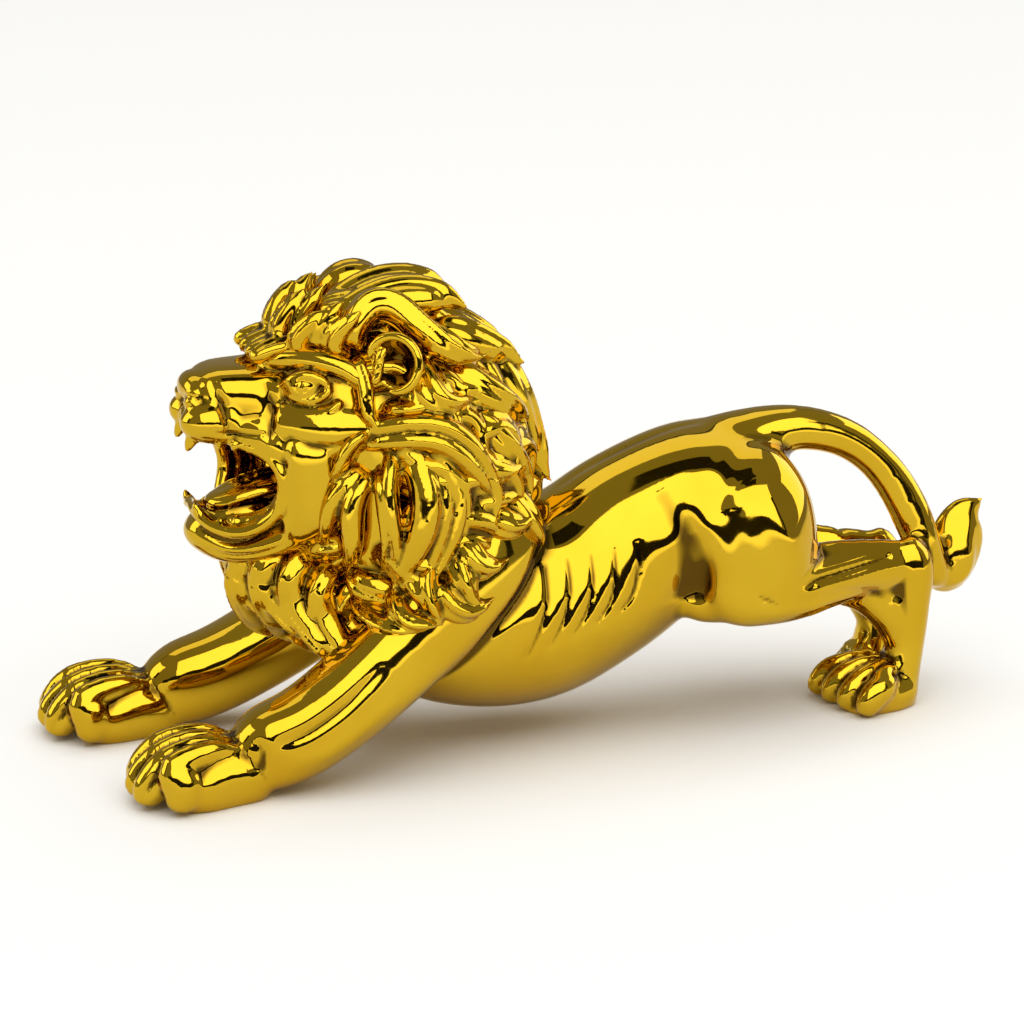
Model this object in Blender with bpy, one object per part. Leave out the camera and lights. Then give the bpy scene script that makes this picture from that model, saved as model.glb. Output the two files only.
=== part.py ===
"""A roaring lion in a long stretch, cast in one piece: a table sculpture about 0.31 m long.

The lion looks along -X, its left side is -Y and it stands on z = 0. The forms below are laid out in
millimetres, like a modeller's clay: drawn-out balls for the trunk, limbs and tail, balls and rolls for
the muscles of the head, and pointed locks laid over an egg-shaped core for the mane. They are fused
into one skin, furrows are pressed into it, its soles are cut flat, and it is thinned to plain facets.
"""
import math
import random

import bmesh
import bpy
import numpy as np
from mathutils import Vector
from mathutils.bvhtree import BVHTree

MM = 0.001                 # one millimetre in metres

# --- driving dimensions, millimetres ---------------------------------------------------------
FORE_TRACK = 32.5          # each forepaw's middle, out from the lion's middle line
FAR_REACH = 15.5           # how much further forward the right foreleg reaches
HIND_TRACK = 12.3          # each heel, out from the middle line
TOES = 4
SKIN = 1.15                # grain of the fused skin
SMOOTHINGS = 3
FACETS = 9400              # triangles kept on the finished casting
SOLE_SNAP = 0.35           # points this near the ground are laid on it before the soles are cut
GOLD = (0.83, 0.53, 0.07, 1.0)

# Each row of a form is x, y, z of its middle line, half its width (in y), half its depth.
TRUNK = [
    (-76, 0, 60, 12, 14), (-57, 0, 53, 25, 26), (-32, 0, 44.8, 32, 31.8), (-6, 0, 43, 31.5, 33.2),
    (15, 0, 49.8, 29.5, 31.2), (32, 0, 60.3, 27, 30.7), (47, 0, 68.3, 27.5, 28.8), (60, 0, 72.5, 28, 27),
    (72, 0, 76, 24, 24), (86, 0, 79, 14, 18),
]
THIGH = [
    (62, 4, 88, 12, 14), (64, 8, 83, 17, 18.5), (65.5, 13, 74, 19.5, 21.6), (66.5, 18, 63, 18, 22),
    (66, 21.5, 52, 14.5, 20.5), (62.5, 24, 42.5, 10.5, 16.5), (61, 24.5, 36, 7, 10),
]
SHANK = [
    (52, 24.5, 48, 8, 8.5), (64, 24.5, 46.5, 10.5, 10.5), (78, 23, 47, 11, 11), (92, 19.5, 47.6, 9.5, 9.6),
    (106, 15.5, 47.8, 7.5, 8.6), (116, 13.5, 47.5, 6.7, 8), (123, 13, 47.5, 6.2, 7.2),
]
HEEL_CORD = [(84, 19, 56, 4.5, 4.5), (98, 17, 56, 3.6, 3.6), (110, 14.5, 54.5, 3.4, 3.4),
             (121, 13, 52, 3.6, 3.6), (126, 13, 48, 3.5, 3.5)]
RIGHT_DROP = 5             # the right shank and hock lie this much lower
HOCK_TO_HEEL = [
    (122, 13, 57, 5, 5.5), (124.2, 13, 47, 6.3, 8), (124.2, 12.8, 36, 6.2, 7), (123.5, 12.5, 24, 6.4, 6.5),
    (121.5, HIND_TRACK, 12, 7.5, 6.8), (120.3, HIND_TRACK, 0, 8, 7), (120.3, HIND_TRACK, -6, 8, 6),
]
BEND = [
    (84, 17, 46, 5, 7), (98, 14.5, 44.6, 6, 8), (109, 13.5, 40, 6, 8), (117, 13.2, 30, 6, 6.5),
    (120, 13, 18, 5, 4.5),
]
# The foreleg's rows end with their share of the right leg's extra reach.
FORELEG = [
    (-108, 32.5, 10.6, 10.8, 12.8, 1.0), (-97, 32.3, 14.4, 11.5, 14.2, 0.9), (-85, 32, 19, 12.5, 14, 0.8),
    (-71, 31, 27.8, 13.5, 14.2, 0.6), (-54, 29, 40.8, 13.5, 15, 0.35), (-36, 25, 56, 13, 17.5, 0.15),
    (-19, 19, 71, 12, 17, 0), (-8, 13, 81, 9, 12, 0),
]
FOREPAW = [
    (-96, 32.5, 3, 9.5, 8), (-108, 32.5, 7, 11.5, 12.5), (-119, 32.9, 7, 13.8, 12.6),
    (-130, 33.3, 3, 14, 9),
]
TAIL = [
    (42, 0, 84, 14, 10), (58, 0, 88.5, 13, 11), (72, 0, 92, 10.5, 9.6), (84, 0, 93.8, 8, 8),
    (96, 0, 92, 6.6, 7.2), (106, 0, 87.8, 6, 6.7), (114.4, -0.5, 81.3, 5.7, 6.4),
    (121.4, -1.5, 72.8, 5.5, 6.6), (127.2, -3, 62, 5.5, 6.8), (131.6, -4, 51, 5.7, 6.2),
    (136.2, -3, 41, 5.9, 5.8), (141.5, 1, 37.8, 6, 5.6),
]
TUFT = [(135, -1, 37, 4, 5), (142.5, 1, 38.4, 6, 7.6), (145.6, 2, 45.5, 6, 9.2), (146.8, 2, 53, 4.8, 9),
        (149.6, 2, 59, 3, 6.2), (155.4, 2, 63, 0.7, 1)]
# Tips of the hind toes on the ground, from the inner toe to the outer one.
LEFT_HIND_TOES = [(96.2, 1.5), (97.8, 9.3), (100.3, 17.2), (104.3, 24.6)]
RIGHT_HIND_TOES = [(109.2, 5.6), (108.8, 9.6), (109.6, 13.8), (111.6, 17.6)]
RIBS = 5

MUZZLE = [
    (-74, 0, 118, 22, 13), (-86, 0, 119, 18, 12), (-96, 0, 120, 14.5, 11.2),
    (-106, 0, 120.3, 12.4, 10.4), (-113.5, 0, 120, 9.5, 8.6),
]
CHEEK_BONE = [
    (-92, 13, 117, 4, 5), (-84, 18.5, 114.5, 5, 7), (-74, 22.8, 113, 5.5, 8.5), (-60, 25.5, 112, 5, 8),
]
FLEW = [(-106, 7, 114, 4, 4.5), (-98, 11.5, 112.8, 4, 5), (-90.5, 16.5, 110, 4, 5.5), (-84, 20, 104, 4, 6)]
CHEEK = [
    (-78, 20, 116, 4.5, 9), (-79, 23, 107, 4, 8.5), (-79, 23.3, 98, 3.6, 8.2), (-79, 21.6, 89, 3.8, 8.5),
    (-80, 19, 81, 3.8, 8.5), (-79, 16, 74, 3, 7),
]
BROW = [
    (-91.5, 4.5, 130.2, 3, 3), (-86, 10.8, 133.6, 3.4, 3.2), (-77.5, 17.2, 134.6, 3.4, 3.6),
    (-68.5, 22.4, 132.4, 3.2, 3.4), (-63.5, 26, 127.2, 2.6, 2.6),
]
UPPER_LID = [(-87.3, 15.3, 125.3, 1.2, 1.2), (-84.8, 19.3, 129.3, 1.5, 1.4), (-80.3, 21.4, 130.9, 1.6, 1.5),
             (-75.8, 22.8, 129.1, 1.5, 1.4), (-73.3, 23.8, 126.5, 1.1, 1.1)]
LOWER_LID = [(-87.3, 15.3, 125.3, 1.1, 1.1), (-83.8, 19.8, 123.5, 1.3, 1.2), (-79.3, 22.2, 122.9, 1.4, 1.3),
             (-75.3, 23.6, 124.5, 1.2, 1.2), (-73.3, 23.8, 126.5, 1.1, 1.1)]
LIP = [
    (-108, 9, 110, 1.6, 1.6), (-100, 12.6, 108.2, 1.9, 1.9), (-93, 17.2, 105.5, 2, 2),
    (-88.8, 20.8, 100, 2, 2), (-88.5, 21, 92, 2, 2), (-92, 18.8, 84.5, 2.2, 2.2),
    (-100, 15.5, 80.2, 2.3, 2.3), (-107.5, 11, 81, 2.2, 2.2), (-112.2, 5.5, 84.6, 2.1, 2.1),
    (-113.2, -1, 86.2, 2.1, 2.1),
]
JAW = [(-60, 0, 90, 25, 15), (-74, 0, 83.5, 23.5, 11.5), (-88, 0, 76, 19, 8.5), (-100, 0, 73.6, 14.5, 7.4),
       (-108, 0, 76.8, 10.5, 7.3), (-113.8, 0, 80.8, 7.5, 6.5)]
TONGUE = [(-78, 0, 90, 10, 6), (-88, 0, 90.5, 9.5, 4.6), (-97, 0, 88.8, 8.5, 3.8), (-104, 0, 86.5, 6.8, 3),
          (-108.5, 0, 86, 4.8, 2.4)]
UPPER_FANG = [(-112, 7.4, 112, 2.5, 2.5), (-114, 7.8, 108.5, 2, 2), (-115.5, 7.8, 105.2, 0.9, 0.9)]
LOWER_FANG = [(-110.5, 6.4, 83, 2.2, 2.2), (-112.5, 6.8, 86, 1.6, 1.6), (-113.3, 7, 88.6, 0.7, 0.7)]
GUM = [(-86.5, 17, 94, 1.8, 1.8), (-89.5, 15.8, 86.5, 2.6, 2.8), (-96, 13.4, 82.6, 3, 3.2),
       (-104, 9.8, 82, 2.6, 2.8)]
FAR_CHEEK = [(-102, 11, 109, 2.6, 2.8), (-100.5, 14, 103, 2.6, 2.8), (-98.2, 15.6, 95, 2.6, 2.8),
             (-99, 14.6, 88, 2.6, 2.8), (-101.5, 12, 82, 2.6, 2.8)]
EAR_MIDDLE = (-54, 29.8, 135)
EAR_HEIGHT, EAR_WIDTH, EAR_RIM = 8.6, 8, 1.7

# The mane's core is an egg, bowed back at mid height.
CORE = np.array((-43.5, 0, 98.0))
CORE_RADII = np.array((35.5, 30.5, 46.5))
BOW, BOW_HEIGHT = 0.006, 92
BELL = 0.4                 # how much wider the mane's core is over the shoulders
# Rings of combed locks: degrees back from the face, how many, length, half width, start angle.
COMBED = [(122, 14, 38, 7, 12), (102, 18, 42, 6.8, 0), (82, 19, 44, 6.8, 10), (64, 16, 40, 6.5, 0)]
# Locks laid on each flank of the mane: x, z of the root, x, z of the tip, bow, sway, half width, lift.
REAR_LOCKS = [
    (-33, 137, -8, 103, -5, 0, 6, 3), (-21, 104, 1, 76, -5.5, -1, 6, 2.5),
    (-24, 90, -5, 68, -2.5, 0, 6, 2.5), (-50, 150, -25, 139, 1, -1, 5.5, 3),
    (-46, 141, -17, 129, 5.5, -1.5, 6, 4), (-37, 131.5, -6, 97.5, -1.5, 1, 6.5, 4),
    (-45, 135, -26, 119.5, 9.5, 0, 6.5, 4.5), (-30, 117, -8.5, 75, -3.5, 0, 6, 3.5),
    (-30, 101, -11, 98, 3.7, 0, 5, 3), (-28, 83, -9, 81, 3.5, -1, 5.5, 3),
    (-37.5, 80, -18, 69.5, 6.5, -1, 6, 3),
]
THROAT_LOCKS = [
    (-44, 66, -24, 58, 6.5, 0, 5.5, 2.5), (-83.5, 85, -88.5, 59, -1.5, 2.5, 4.5, 2.5),
    (-77, 80, -83, 51, -3, 2, 5, 2.5), (-58, 78, -50, 54, -4, 2, 5, 2.5),
    (-51, 76, -44, 57, 3.5, -1.5, 5, 2.5), (-55, 63, -42.5, 52, 5, 2, 3.8, 2),
    (-67.5, 71, -62, 50, 7, 2, 4.6, 3), (-62, 62, -51, 50, 5, 2.2, 3.8, 2),
    (-43.5, 74, -41.5, 51, 4.5, 0, 5, 3), (-38, 74, -27, 56, 3, -1.5, 5, 3),
]
CHEEK_LOCKS = [
    (-60, 113, -22, 76, 0, -6.5, 7.5, 3.5, 2), (-67, 76.5, -84, 73, -1, 1, 4.6, 4, 2),
    (-60, 114, -74, 94, 0.5, 1.8, 2.7, 3.8, 1), (-63, 102, -72.6, 71, 2.6, 1.1, 3.8, 4, 1),
    (-61.5, 101, -67.6, 64.5, 0.5, 1.8, 4, 4.8, 1), (-59.3, 103, -58.7, 66, -1.6, 0.6, 1.9, 3.6, 1),
    (-54.5, 108, -55.7, 65, 0.3, 1.7, 3.4, 4.6, 1), (-51, 109, -57, 57.5, -7, -1.8, 5.2, 5.4, 1),
    (-44, 107, -47, 56.5, -5.8, -2.6, 6, 3.8, 2), (-68.5, 108.5, -17, 80.5, -15, -4, 6.5, 6, 2),
]
# Free locks: x, y, z along each.
CROWN_LOCK = [
    (-70, 5.5, 139), (-61, 6, 144.5), (-50, 6.5, 148.3), (-40, 7, 148.6), (-32, 8, 146.5), (-26, 9, 143),
]
NAPE_LOCK = [(-38, 10, 140), (-31, 10, 136.8), (-23, 9, 132.6), (-15, 8, 128.4), (-7, 8, 123)]
BACK_LOCK = [(-25, 5, 131), (-17, 5, 125.5), (-11, 5, 114), (-6.7, 5, 102), (-3, 6, 92), (1.5, 6, 83)]
ARCH_LOCK = [
    (-67, 20, 137), (-64, 18.5, 145), (-58, 17, 150), (-51, 18, 148.5), (-44, 22, 142), (-36, 25, 135),
    (-28.5, 24, 131.5), (-21, 21, 133.5),
]
BEFORE_EAR = [(-65, 22.5, 136), (-63, 26, 128), (-62.5, 28, 119), (-58.5, 30, 112)]
# Upright forelocks: x and y of the root, height, half width.
FORELOCKS = [(-81.8, 5, 15.6, 3.9), (-76, 6.5, 16.6, 4.1), (-78, 13, 12.5, 3.5), (-72, 14, 14.5, 3.7),
             (-68, 18.5, 13, 3.5)]
BROW_FRINGE = (-9, -3, 3, 9)
# Rows of the beard and bib: x, z of the roots, how many, spread to each side.
BIB = [(-66, 60, 6, 19), (-75, 66, 6, 21), (-83, 70, 6, 18), (-90, 71, 5, 13), (-95, 71.5, 3, 6)]
BIB_LENGTH = 29
SEED = 4


def unit(v):
    v = np.asarray(v, float)
    return v / np.maximum(np.linalg.norm(v, axis=-1, keepdims=True), 1e-9)


def through(rows, share):
    """A smooth curve through the rows, read at shares of its length from 0 to 1."""
    rows = np.asarray(rows, float)
    last = len(rows) - 1
    s = np.clip(share, 0, 1) * last
    i = np.minimum(s.astype(int), last - 1)
    f = (s - i)[:, None]
    a, b, c, d = (rows[np.clip(i + k, 0, last)] for k in (-1, 0, 1, 2))
    return b + 0.5 * f * ((c - a) + f * ((2 * a - 5 * b + 4 * c - d) + f * (3 * (b - c) + d - a)))


def mirrored(rows, side):
    return [(x, y * side, z, *rest) for x, y, z, *rest in rows]


class Clay:
    """Closed lumps gathered in one mesh, ready to be fused."""

    def __init__(self):
        self.bm = bmesh.new()
        self.balls = {}

    def ball(self, sides, rings):
        """Adds a unit ball, and gives its points with the share and angle each has on it."""
        if (sides, rings) not in self.balls:
            one = bmesh.new()
            bmesh.ops.create_uvsphere(one, u_segments=sides, v_segments=rings, radius=1)
            self.balls[sides, rings] = bpy.data.meshes.new("ball")
            one.to_mesh(self.balls[sides, rings])
            one.free()
        first = len(self.bm.verts)
        self.bm.from_mesh(self.balls[sides, rings])
        self.bm.verts.ensure_lookup_table()
        verts = self.bm.verts[first:]
        co = np.array([v.co for v in verts])
        share = np.arccos(np.clip(co[:, 2], -1, 1)) / math.pi
        return verts, co, share, np.arctan2(co[:, 1], co[:, 0])

    def place(self, verts, points):
        for vert, point in zip(verts, points):
            vert.co = point * MM

    def lump(self, middle, radii):
        verts, co, _, _ = self.ball(28, 20)
        self.place(verts, np.array(middle, float) + co * radii)

    def drawn(self, rows, across=(0, 1, 0), sides=20, rings=24, fullness=6, boxy=0):
        """A ball drawn out along rows of x, y, z, half width along across, half depth."""
        verts, co, share, angle = self.ball(sides, rings)
        share = 0.5 * share + 0.25 * (1 - co[:, 2])
        p = through(rows, share)
        ahead = unit(through(rows, np.minimum(share + 0.001, 1))[:, :3]
                     - through(rows, np.maximum(share - 0.001, 0))[:, :3])
        b = np.tile(np.asarray(across, float), (len(share), 1))
        b = unit(b - (b * ahead).sum(1)[:, None] * ahead)
        n = np.cross(ahead, b)
        close = np.sqrt(np.clip(1 - np.abs(2 * share - 1) ** fullness, 0, 1))
        c, s = np.cos(angle), np.sin(angle)
        square = (np.abs(c) ** (2 + boxy) + np.abs(s) ** (2 + boxy)) ** (-1 / (2 + boxy))
        width = (p[:, 3] * close * square * c)[:, None]
        depth = (p[:, 4] * close * square * s)[:, None]
        self.place(verts, p[:, :3] + b * width + n * depth)

    def lock(self, path, outward, wide, high, lift, curl, root=0.5, groove=0.16):
        """A pointed lock along a path, lifted off the surface whose outward normals are given."""
        verts, _, share, angle = self.ball(14, 20)
        p, n = through(path, share), unit(through(outward, share))
        ahead = unit(through(path, np.minimum(share + 0.02, 1)) - through(path, np.maximum(share - 0.02, 0)))
        b = unit(np.cross(n, ahead))
        n = np.cross(ahead, b)
        swell = np.sin(math.pi * (root * 0.5 + (1 - root * 0.5) * share))
        start = np.sqrt(np.clip(1 - (1 - np.clip(share / 0.12, 0, 1)) ** 2, 0, 1))
        end = np.clip((1 - share) / 0.1, 0, 1) ** 0.5
        crease = 1 - groove * (1 + np.cos(4 * angle)) * (np.sin(angle) > 0.2)
        width = wide * swell * start * np.cos(angle)
        depth = high * (0.3 + 0.7 * swell) * start * end * np.sin(angle) * crease
        rise = lift * np.sin(math.pi * np.clip(share * 1.1, 0, 1)) ** 0.8 + curl * share ** 2.5
        self.place(verts, p + b * width[:, None] + n * (depth + rise)[:, None])

    def finished(self, name):
        mesh = bpy.data.meshes.new(name)
        self.bm.to_mesh(mesh)
        self.bm.free()
        piece = bpy.data.objects.new(name, mesh)
        bpy.context.scene.collection.objects.link(piece)
        return piece


def trunk_and_tail(clay):
    clay.drawn(TRUNK, sides=40, rings=48, fullness=8)
    clay.drawn(TAIL, sides=18, rings=50, fullness=10)
    clay.drawn(TUFT, sides=18, rings=24, fullness=5)
    for side in (-1, 1):
        blade = [(137, 3 * side, 36.5, 2.5, 3), (144.5, 1.5 + 5.6 * side, 40, 2.2, 4.5),
                 (146, 2 + 5.4 * side, 48.5, 1.8, 5), (151, 2 + 1.8 * side, 60, 0.6, 1)]
        clay.drawn(blade, sides=12, fullness=4)


def hind_leg(clay, side, toe_tips, paw_middle, paw_half, paw_back, paw_lower, drop):
    clay.drawn(mirrored(THIGH, side), sides=28, rings=32, fullness=5)
    clay.lump((57, 9 * side, 66), (29, 21.5, 23))                # haunch, flowing into the flank
    clay.lump((54, 18 * side, 44), (13, 9, 8))                   # fold between belly and knee
    for rows, sides in ((SHANK, 24), (HEEL_CORD, 16), (BEND, 20), (HOCK_TO_HEEL, 22)):
        rows = [(x, y, z - drop * min(max((x - 64) / 20, 0), 1) * (z > 40), w, d) for x, y, z, w, d in rows]
        clay.drawn(mirrored(rows, side), sides=sides, rings=32)
    paw = [
        (126.5, HIND_TRACK, 2, 8.5, 6), (120, 12, 4, 10.5, 9.5),
        (111 + paw_back, paw_middle, 4 - paw_lower / 2, paw_half * 0.9, 8.5 - paw_lower / 2),
        (101 + paw_back, paw_middle, 1 - paw_lower, paw_half * 0.95, 7),
    ]
    clay.drawn(mirrored(paw, side), fullness=5)
    for x, y in toe_tips:
        root_y = paw_middle + (y - paw_middle) * 0.5
        toe = [
            (118, root_y, 12.5 - paw_lower, 1.6, 3),
            (113, root_y + (y - root_y) * 0.3, 13 - paw_lower, 2.6, 3.8),
            (x + 7, root_y + (y - root_y) * 0.8, 9.8 - paw_lower / 2, 3.5, 5),
            (x + 2.5, y, 6 - paw_lower / 2, 3.7, 5.2), (x, y, 0.5, 3.3, 5),
        ]
        clay.drawn(mirrored(toe, side), sides=16, rings=22, fullness=4)


def fore_toe(k, side):
    """Rows of the k-th toe of a forepaw, from the inner one. Both paws are turned a little to the left."""
    q = 2 * k / (TOES - 1) - 1
    reach = FAR_REACH * (side > 0)
    tip = -138.6 + (5.3 - 3.5 * side * math.copysign(1, q)) * q * q
    root, end = FORE_TRACK + 6.4 * q, FORE_TRACK + 0.8 + 11.4 * q
    rows = [
        (-107, root, 17, 1.8, 3.2), (-117, root + (end - root) * 0.3, 18.2, 2.9, 4.4),
        (-128, root + (end - root) * 0.7, 15, 3.9, 5.8),
        (tip + 3, end, 8, 4.3, 6.4), (tip + 0.5, end, 1.5, 3.8, 6.2),
    ]
    return [(x - reach, *rest) for x, *rest in rows]


def foreleg(clay, side):
    reach = FAR_REACH * (side > 0)
    leg = [(x - reach * share, y, z, w, d) for x, y, z, w, d, share in FORELEG]
    clay.drawn(mirrored(leg, side), sides=32, rings=48, fullness=7, boxy=0.6)
    paw = [(x - reach, y, z, w, d) for x, y, z, w, d in FOREPAW]
    clay.drawn(mirrored(paw, side), sides=28, fullness=5)
    for k in range(TOES):
        clay.drawn(mirrored(fore_toe(k, side), side), sides=18, fullness=4)


def head(clay):
    clay.lump((-68, 0, 118), (22, 25.5, 19.5))           # skull
    clay.lump((-75, 0, 127.5), (13, 21, 9.5))            # forehead
    clay.lump((-58, 0, 98), (20, 25, 22))                # back of the mouth
    clay.lump((-95, 0, 81), (15, 9, 7))                  # floor of the mouth
    clay.lump((-70, 0, 76), (20, 21, 15))                # throat
    clay.drawn(MUZZLE, sides=36, rings=36, fullness=5, boxy=1.1)
    clay.drawn(JAW, sides=36, rings=32, fullness=5)
    clay.drawn(TONGUE, fullness=4)
    for k in range(3):                                   # folds inside the right cheek, seen through the jaws
        fold = [(x + 4.4 * k, y + 0.9 * k, z, wide, deep) for x, y, z, wide, deep in FAR_CHEEK]
        clay.drawn(fold, sides=14)
    clay.lump((-110.6, 0, 124), (5.6, 8.6, 5))           # nose
    clay.lump((-107.5, 0, 114), (8.8, 7.5, 6))           # between the two upper lips
    for side in (-1, 1):
        clay.lump((-105, 8 * side, 114.6), (12.5, 7, 7.4))       # upper lip
        clay.lump((-112, 6.2 * side, 121.6), (4, 3.6, 4))        # wing of the nose
        clay.lump((-80.4, 18.7 * side, 127), (6, 4.8, 4.4))  # eye
        for rows in (CHEEK_BONE, FLEW, CHEEK, BROW):
            clay.drawn(mirrored(rows, side), fullness=5)
        for rows in (UPPER_LID, LOWER_LID):
            clay.drawn(mirrored(rows, side), sides=12, rings=30)
        clay.drawn(mirrored(LIP, side), sides=14, rings=50)
        clay.drawn(mirrored(GUM, side), sides=12, rings=24)
        for rows in (UPPER_FANG, LOWER_FANG):
            clay.drawn(mirrored(rows, side), sides=12, rings=14, fullness=4)
        ear(clay, side)


def ear(clay, side):
    """A bowl facing out and forward, its rim rolled at the back and over the top, open in front."""
    middle = np.array(EAR_MIDDLE, float) * (1, side, 1)
    outward = unit((-0.5, 0.82 * side, 0.12))
    up = np.array((-0.1, -0.15 * side, 1))
    up = unit(up - outward * (up @ outward))
    front = np.cross(outward, up) * -side
    turns = np.linspace(-1.12 * math.pi, 0.42 * math.pi, 21)
    rim = [middle + up * EAR_HEIGHT * math.cos(a) + front * EAR_WIDTH * math.sin(a) + outward * 2.8
           for a in turns]
    clay.drawn([(*p, EAR_RIM, EAR_RIM) for p in rim], across=outward, sides=12, rings=60, fullness=9)
    verts, co, _, _ = clay.ball(36, 24)
    dish = np.where(co[:, 2] > 0, 6.2 * (1 - co[:, 0] ** 2 - co[:, 1] ** 2), 0)
    points = middle + np.outer(co[:, 0] * EAR_HEIGHT, up) + np.outer(co[:, 1] * EAR_WIDTH, front)
    clay.place(verts, points + np.outer(co[:, 2] * 4.5 - dish, outward))


def bell(z):
    """How much wider than an egg the core is at z, and how fast that changes."""
    low = np.clip((104 - z) / 44, 0, 1.2)
    return 1 + BELL * low ** 2, -2 * BELL * low / 44 * (low < 1.2)


def straightened(p):
    """A point with the core's bow and bell taken out of it."""
    return np.array((p[0] + BOW * (p[2] - BOW_HEIGHT) ** 2, p[1] / bell(p[2])[0], p[2]))


def bent(q):
    """A point or rows of points with bow and bell put back."""
    x, y, z = np.asarray(q).T
    return np.stack([x - BOW * (z - BOW_HEIGHT) ** 2, y * bell(z)[0], z], -1)


def core_normal(q):
    n = (q - CORE) / CORE_RADII ** 2
    spread, slope = bell(q[2])
    n[2] += 2 * BOW * (q[2] - BOW_HEIGHT) * n[0] - n[1] * q[1] * slope / spread
    n[1] /= spread
    return unit(n)


def on_core(p):
    """The nearest point of the core along the line from its middle, and the normal there."""
    q = straightened(p)
    q = CORE + (q - CORE) / np.linalg.norm((q - CORE) / CORE_RADII)
    return bent(q), core_normal(q)


def on_flank(shoulders, x, z, side):
    """The point of core or shoulder at x, z as seen square on from a side, whichever lies further out."""
    u = (straightened((x, 0, z)) - CORE) / CORE_RADII
    inside = 1 - u[0] ** 2 - u[2] ** 2
    under = shoulders.ray_cast(Vector((x, 200 * side, z)) * MM, Vector((0, -side, 0)))[0]
    if inside < 0.02 and under is None:
        return on_core((x, 3.5 * side, z))
    p = np.array((x, math.sqrt(max(inside, 0.02)) * CORE_RADII[1] * side * bell(z)[0], z))
    n = core_normal(straightened(p))
    if under is not None and abs(under.y) / MM - 2 > abs(p[1]):
        p[1] = under.y / MM - 2 * side
        n = unit(0.35 * n + np.array((-0.15, side, 0.35)))
    return p, n


FACE_AXIS = unit((-1, 0, 0.08))


def combed(start, length, sway, phase, fall=0.5, steps=12):
    """A path over the core from start, away from the face and down, swaying as it goes."""
    p, n = on_core(start)
    path, outward = [], []
    for k in range(steps):
        share = k / (steps - 1)
        path.append(p)
        outward.append(n)
        away = unit(n * (FACE_AXIS @ n) - FACE_AXIS)
        down = np.array((0, 0, -1.0)) + n * n[2]
        ahead = unit(away * (1 - fall) + down * fall)
        turn = sway * math.sin(2 * math.pi * 1.15 * share + phase)
        ahead = ahead * math.cos(turn) + np.cross(n, ahead) * math.sin(turn)
        p, n = on_core(p + ahead * length / (steps - 1))
    return path, outward


def round_face(back, turn):
    """A start point on the core, back degrees from the face axis and turn degrees round it."""
    back, turn = math.radians(back), math.radians(turn)
    up = unit(np.array((0, 0, 1)) - FACE_AXIS * FACE_AXIS[2])
    out = up * math.cos(turn) + np.array((0, -1, 0)) * math.sin(turn)
    q = CORE + 40 * (FACE_AXIS * math.cos(back) + out * math.sin(back))
    return bent(q)


def flank_lock(clay, shoulders, side, x0, z0, x1, z1, bow, sway, wide, lift, strands=3):
    """A lock on the core's flank, from its root to its tip, bowed once and swayed twice on the way."""
    length = math.hypot(x1 - x0, z1 - z0)
    share = np.linspace(0, 1, 9)
    aside = (bow * np.sin(math.pi * share) + sway * np.sin(2 * math.pi * share)) / length
    x = x0 + (x1 - x0) * share + (z1 - z0) * aside
    z = z0 + (z1 - z0) * share - (x1 - x0) * aside
    path, outward = (np.array(rows) for rows in zip(*(on_flank(shoulders, a, b, side) for a, b in zip(x, z))))
    for _ in range(2):
        path[1:-1] = (path[:-2] + 2 * path[1:-1] + path[2:]) / 4
        outward[1:-1] = (outward[:-2] + 2 * outward[1:-1] + outward[2:]) / 4
    if strands == 1:
        clay.lock(path, outward, wide, 5.6, lift * 1.1, 3, groove=0)
        return
    clay.lock(path, outward, wide * 0.86, 5.6, lift * 1.1, 3)


def free_lock(clay, path, wide, high, heart, lift, curl):
    """A lock whose outward side faces away from the heart point."""
    path = np.array(path, float)
    clay.lock(path, unit(path - np.array(heart, float)), wide, high, lift, curl)


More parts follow.
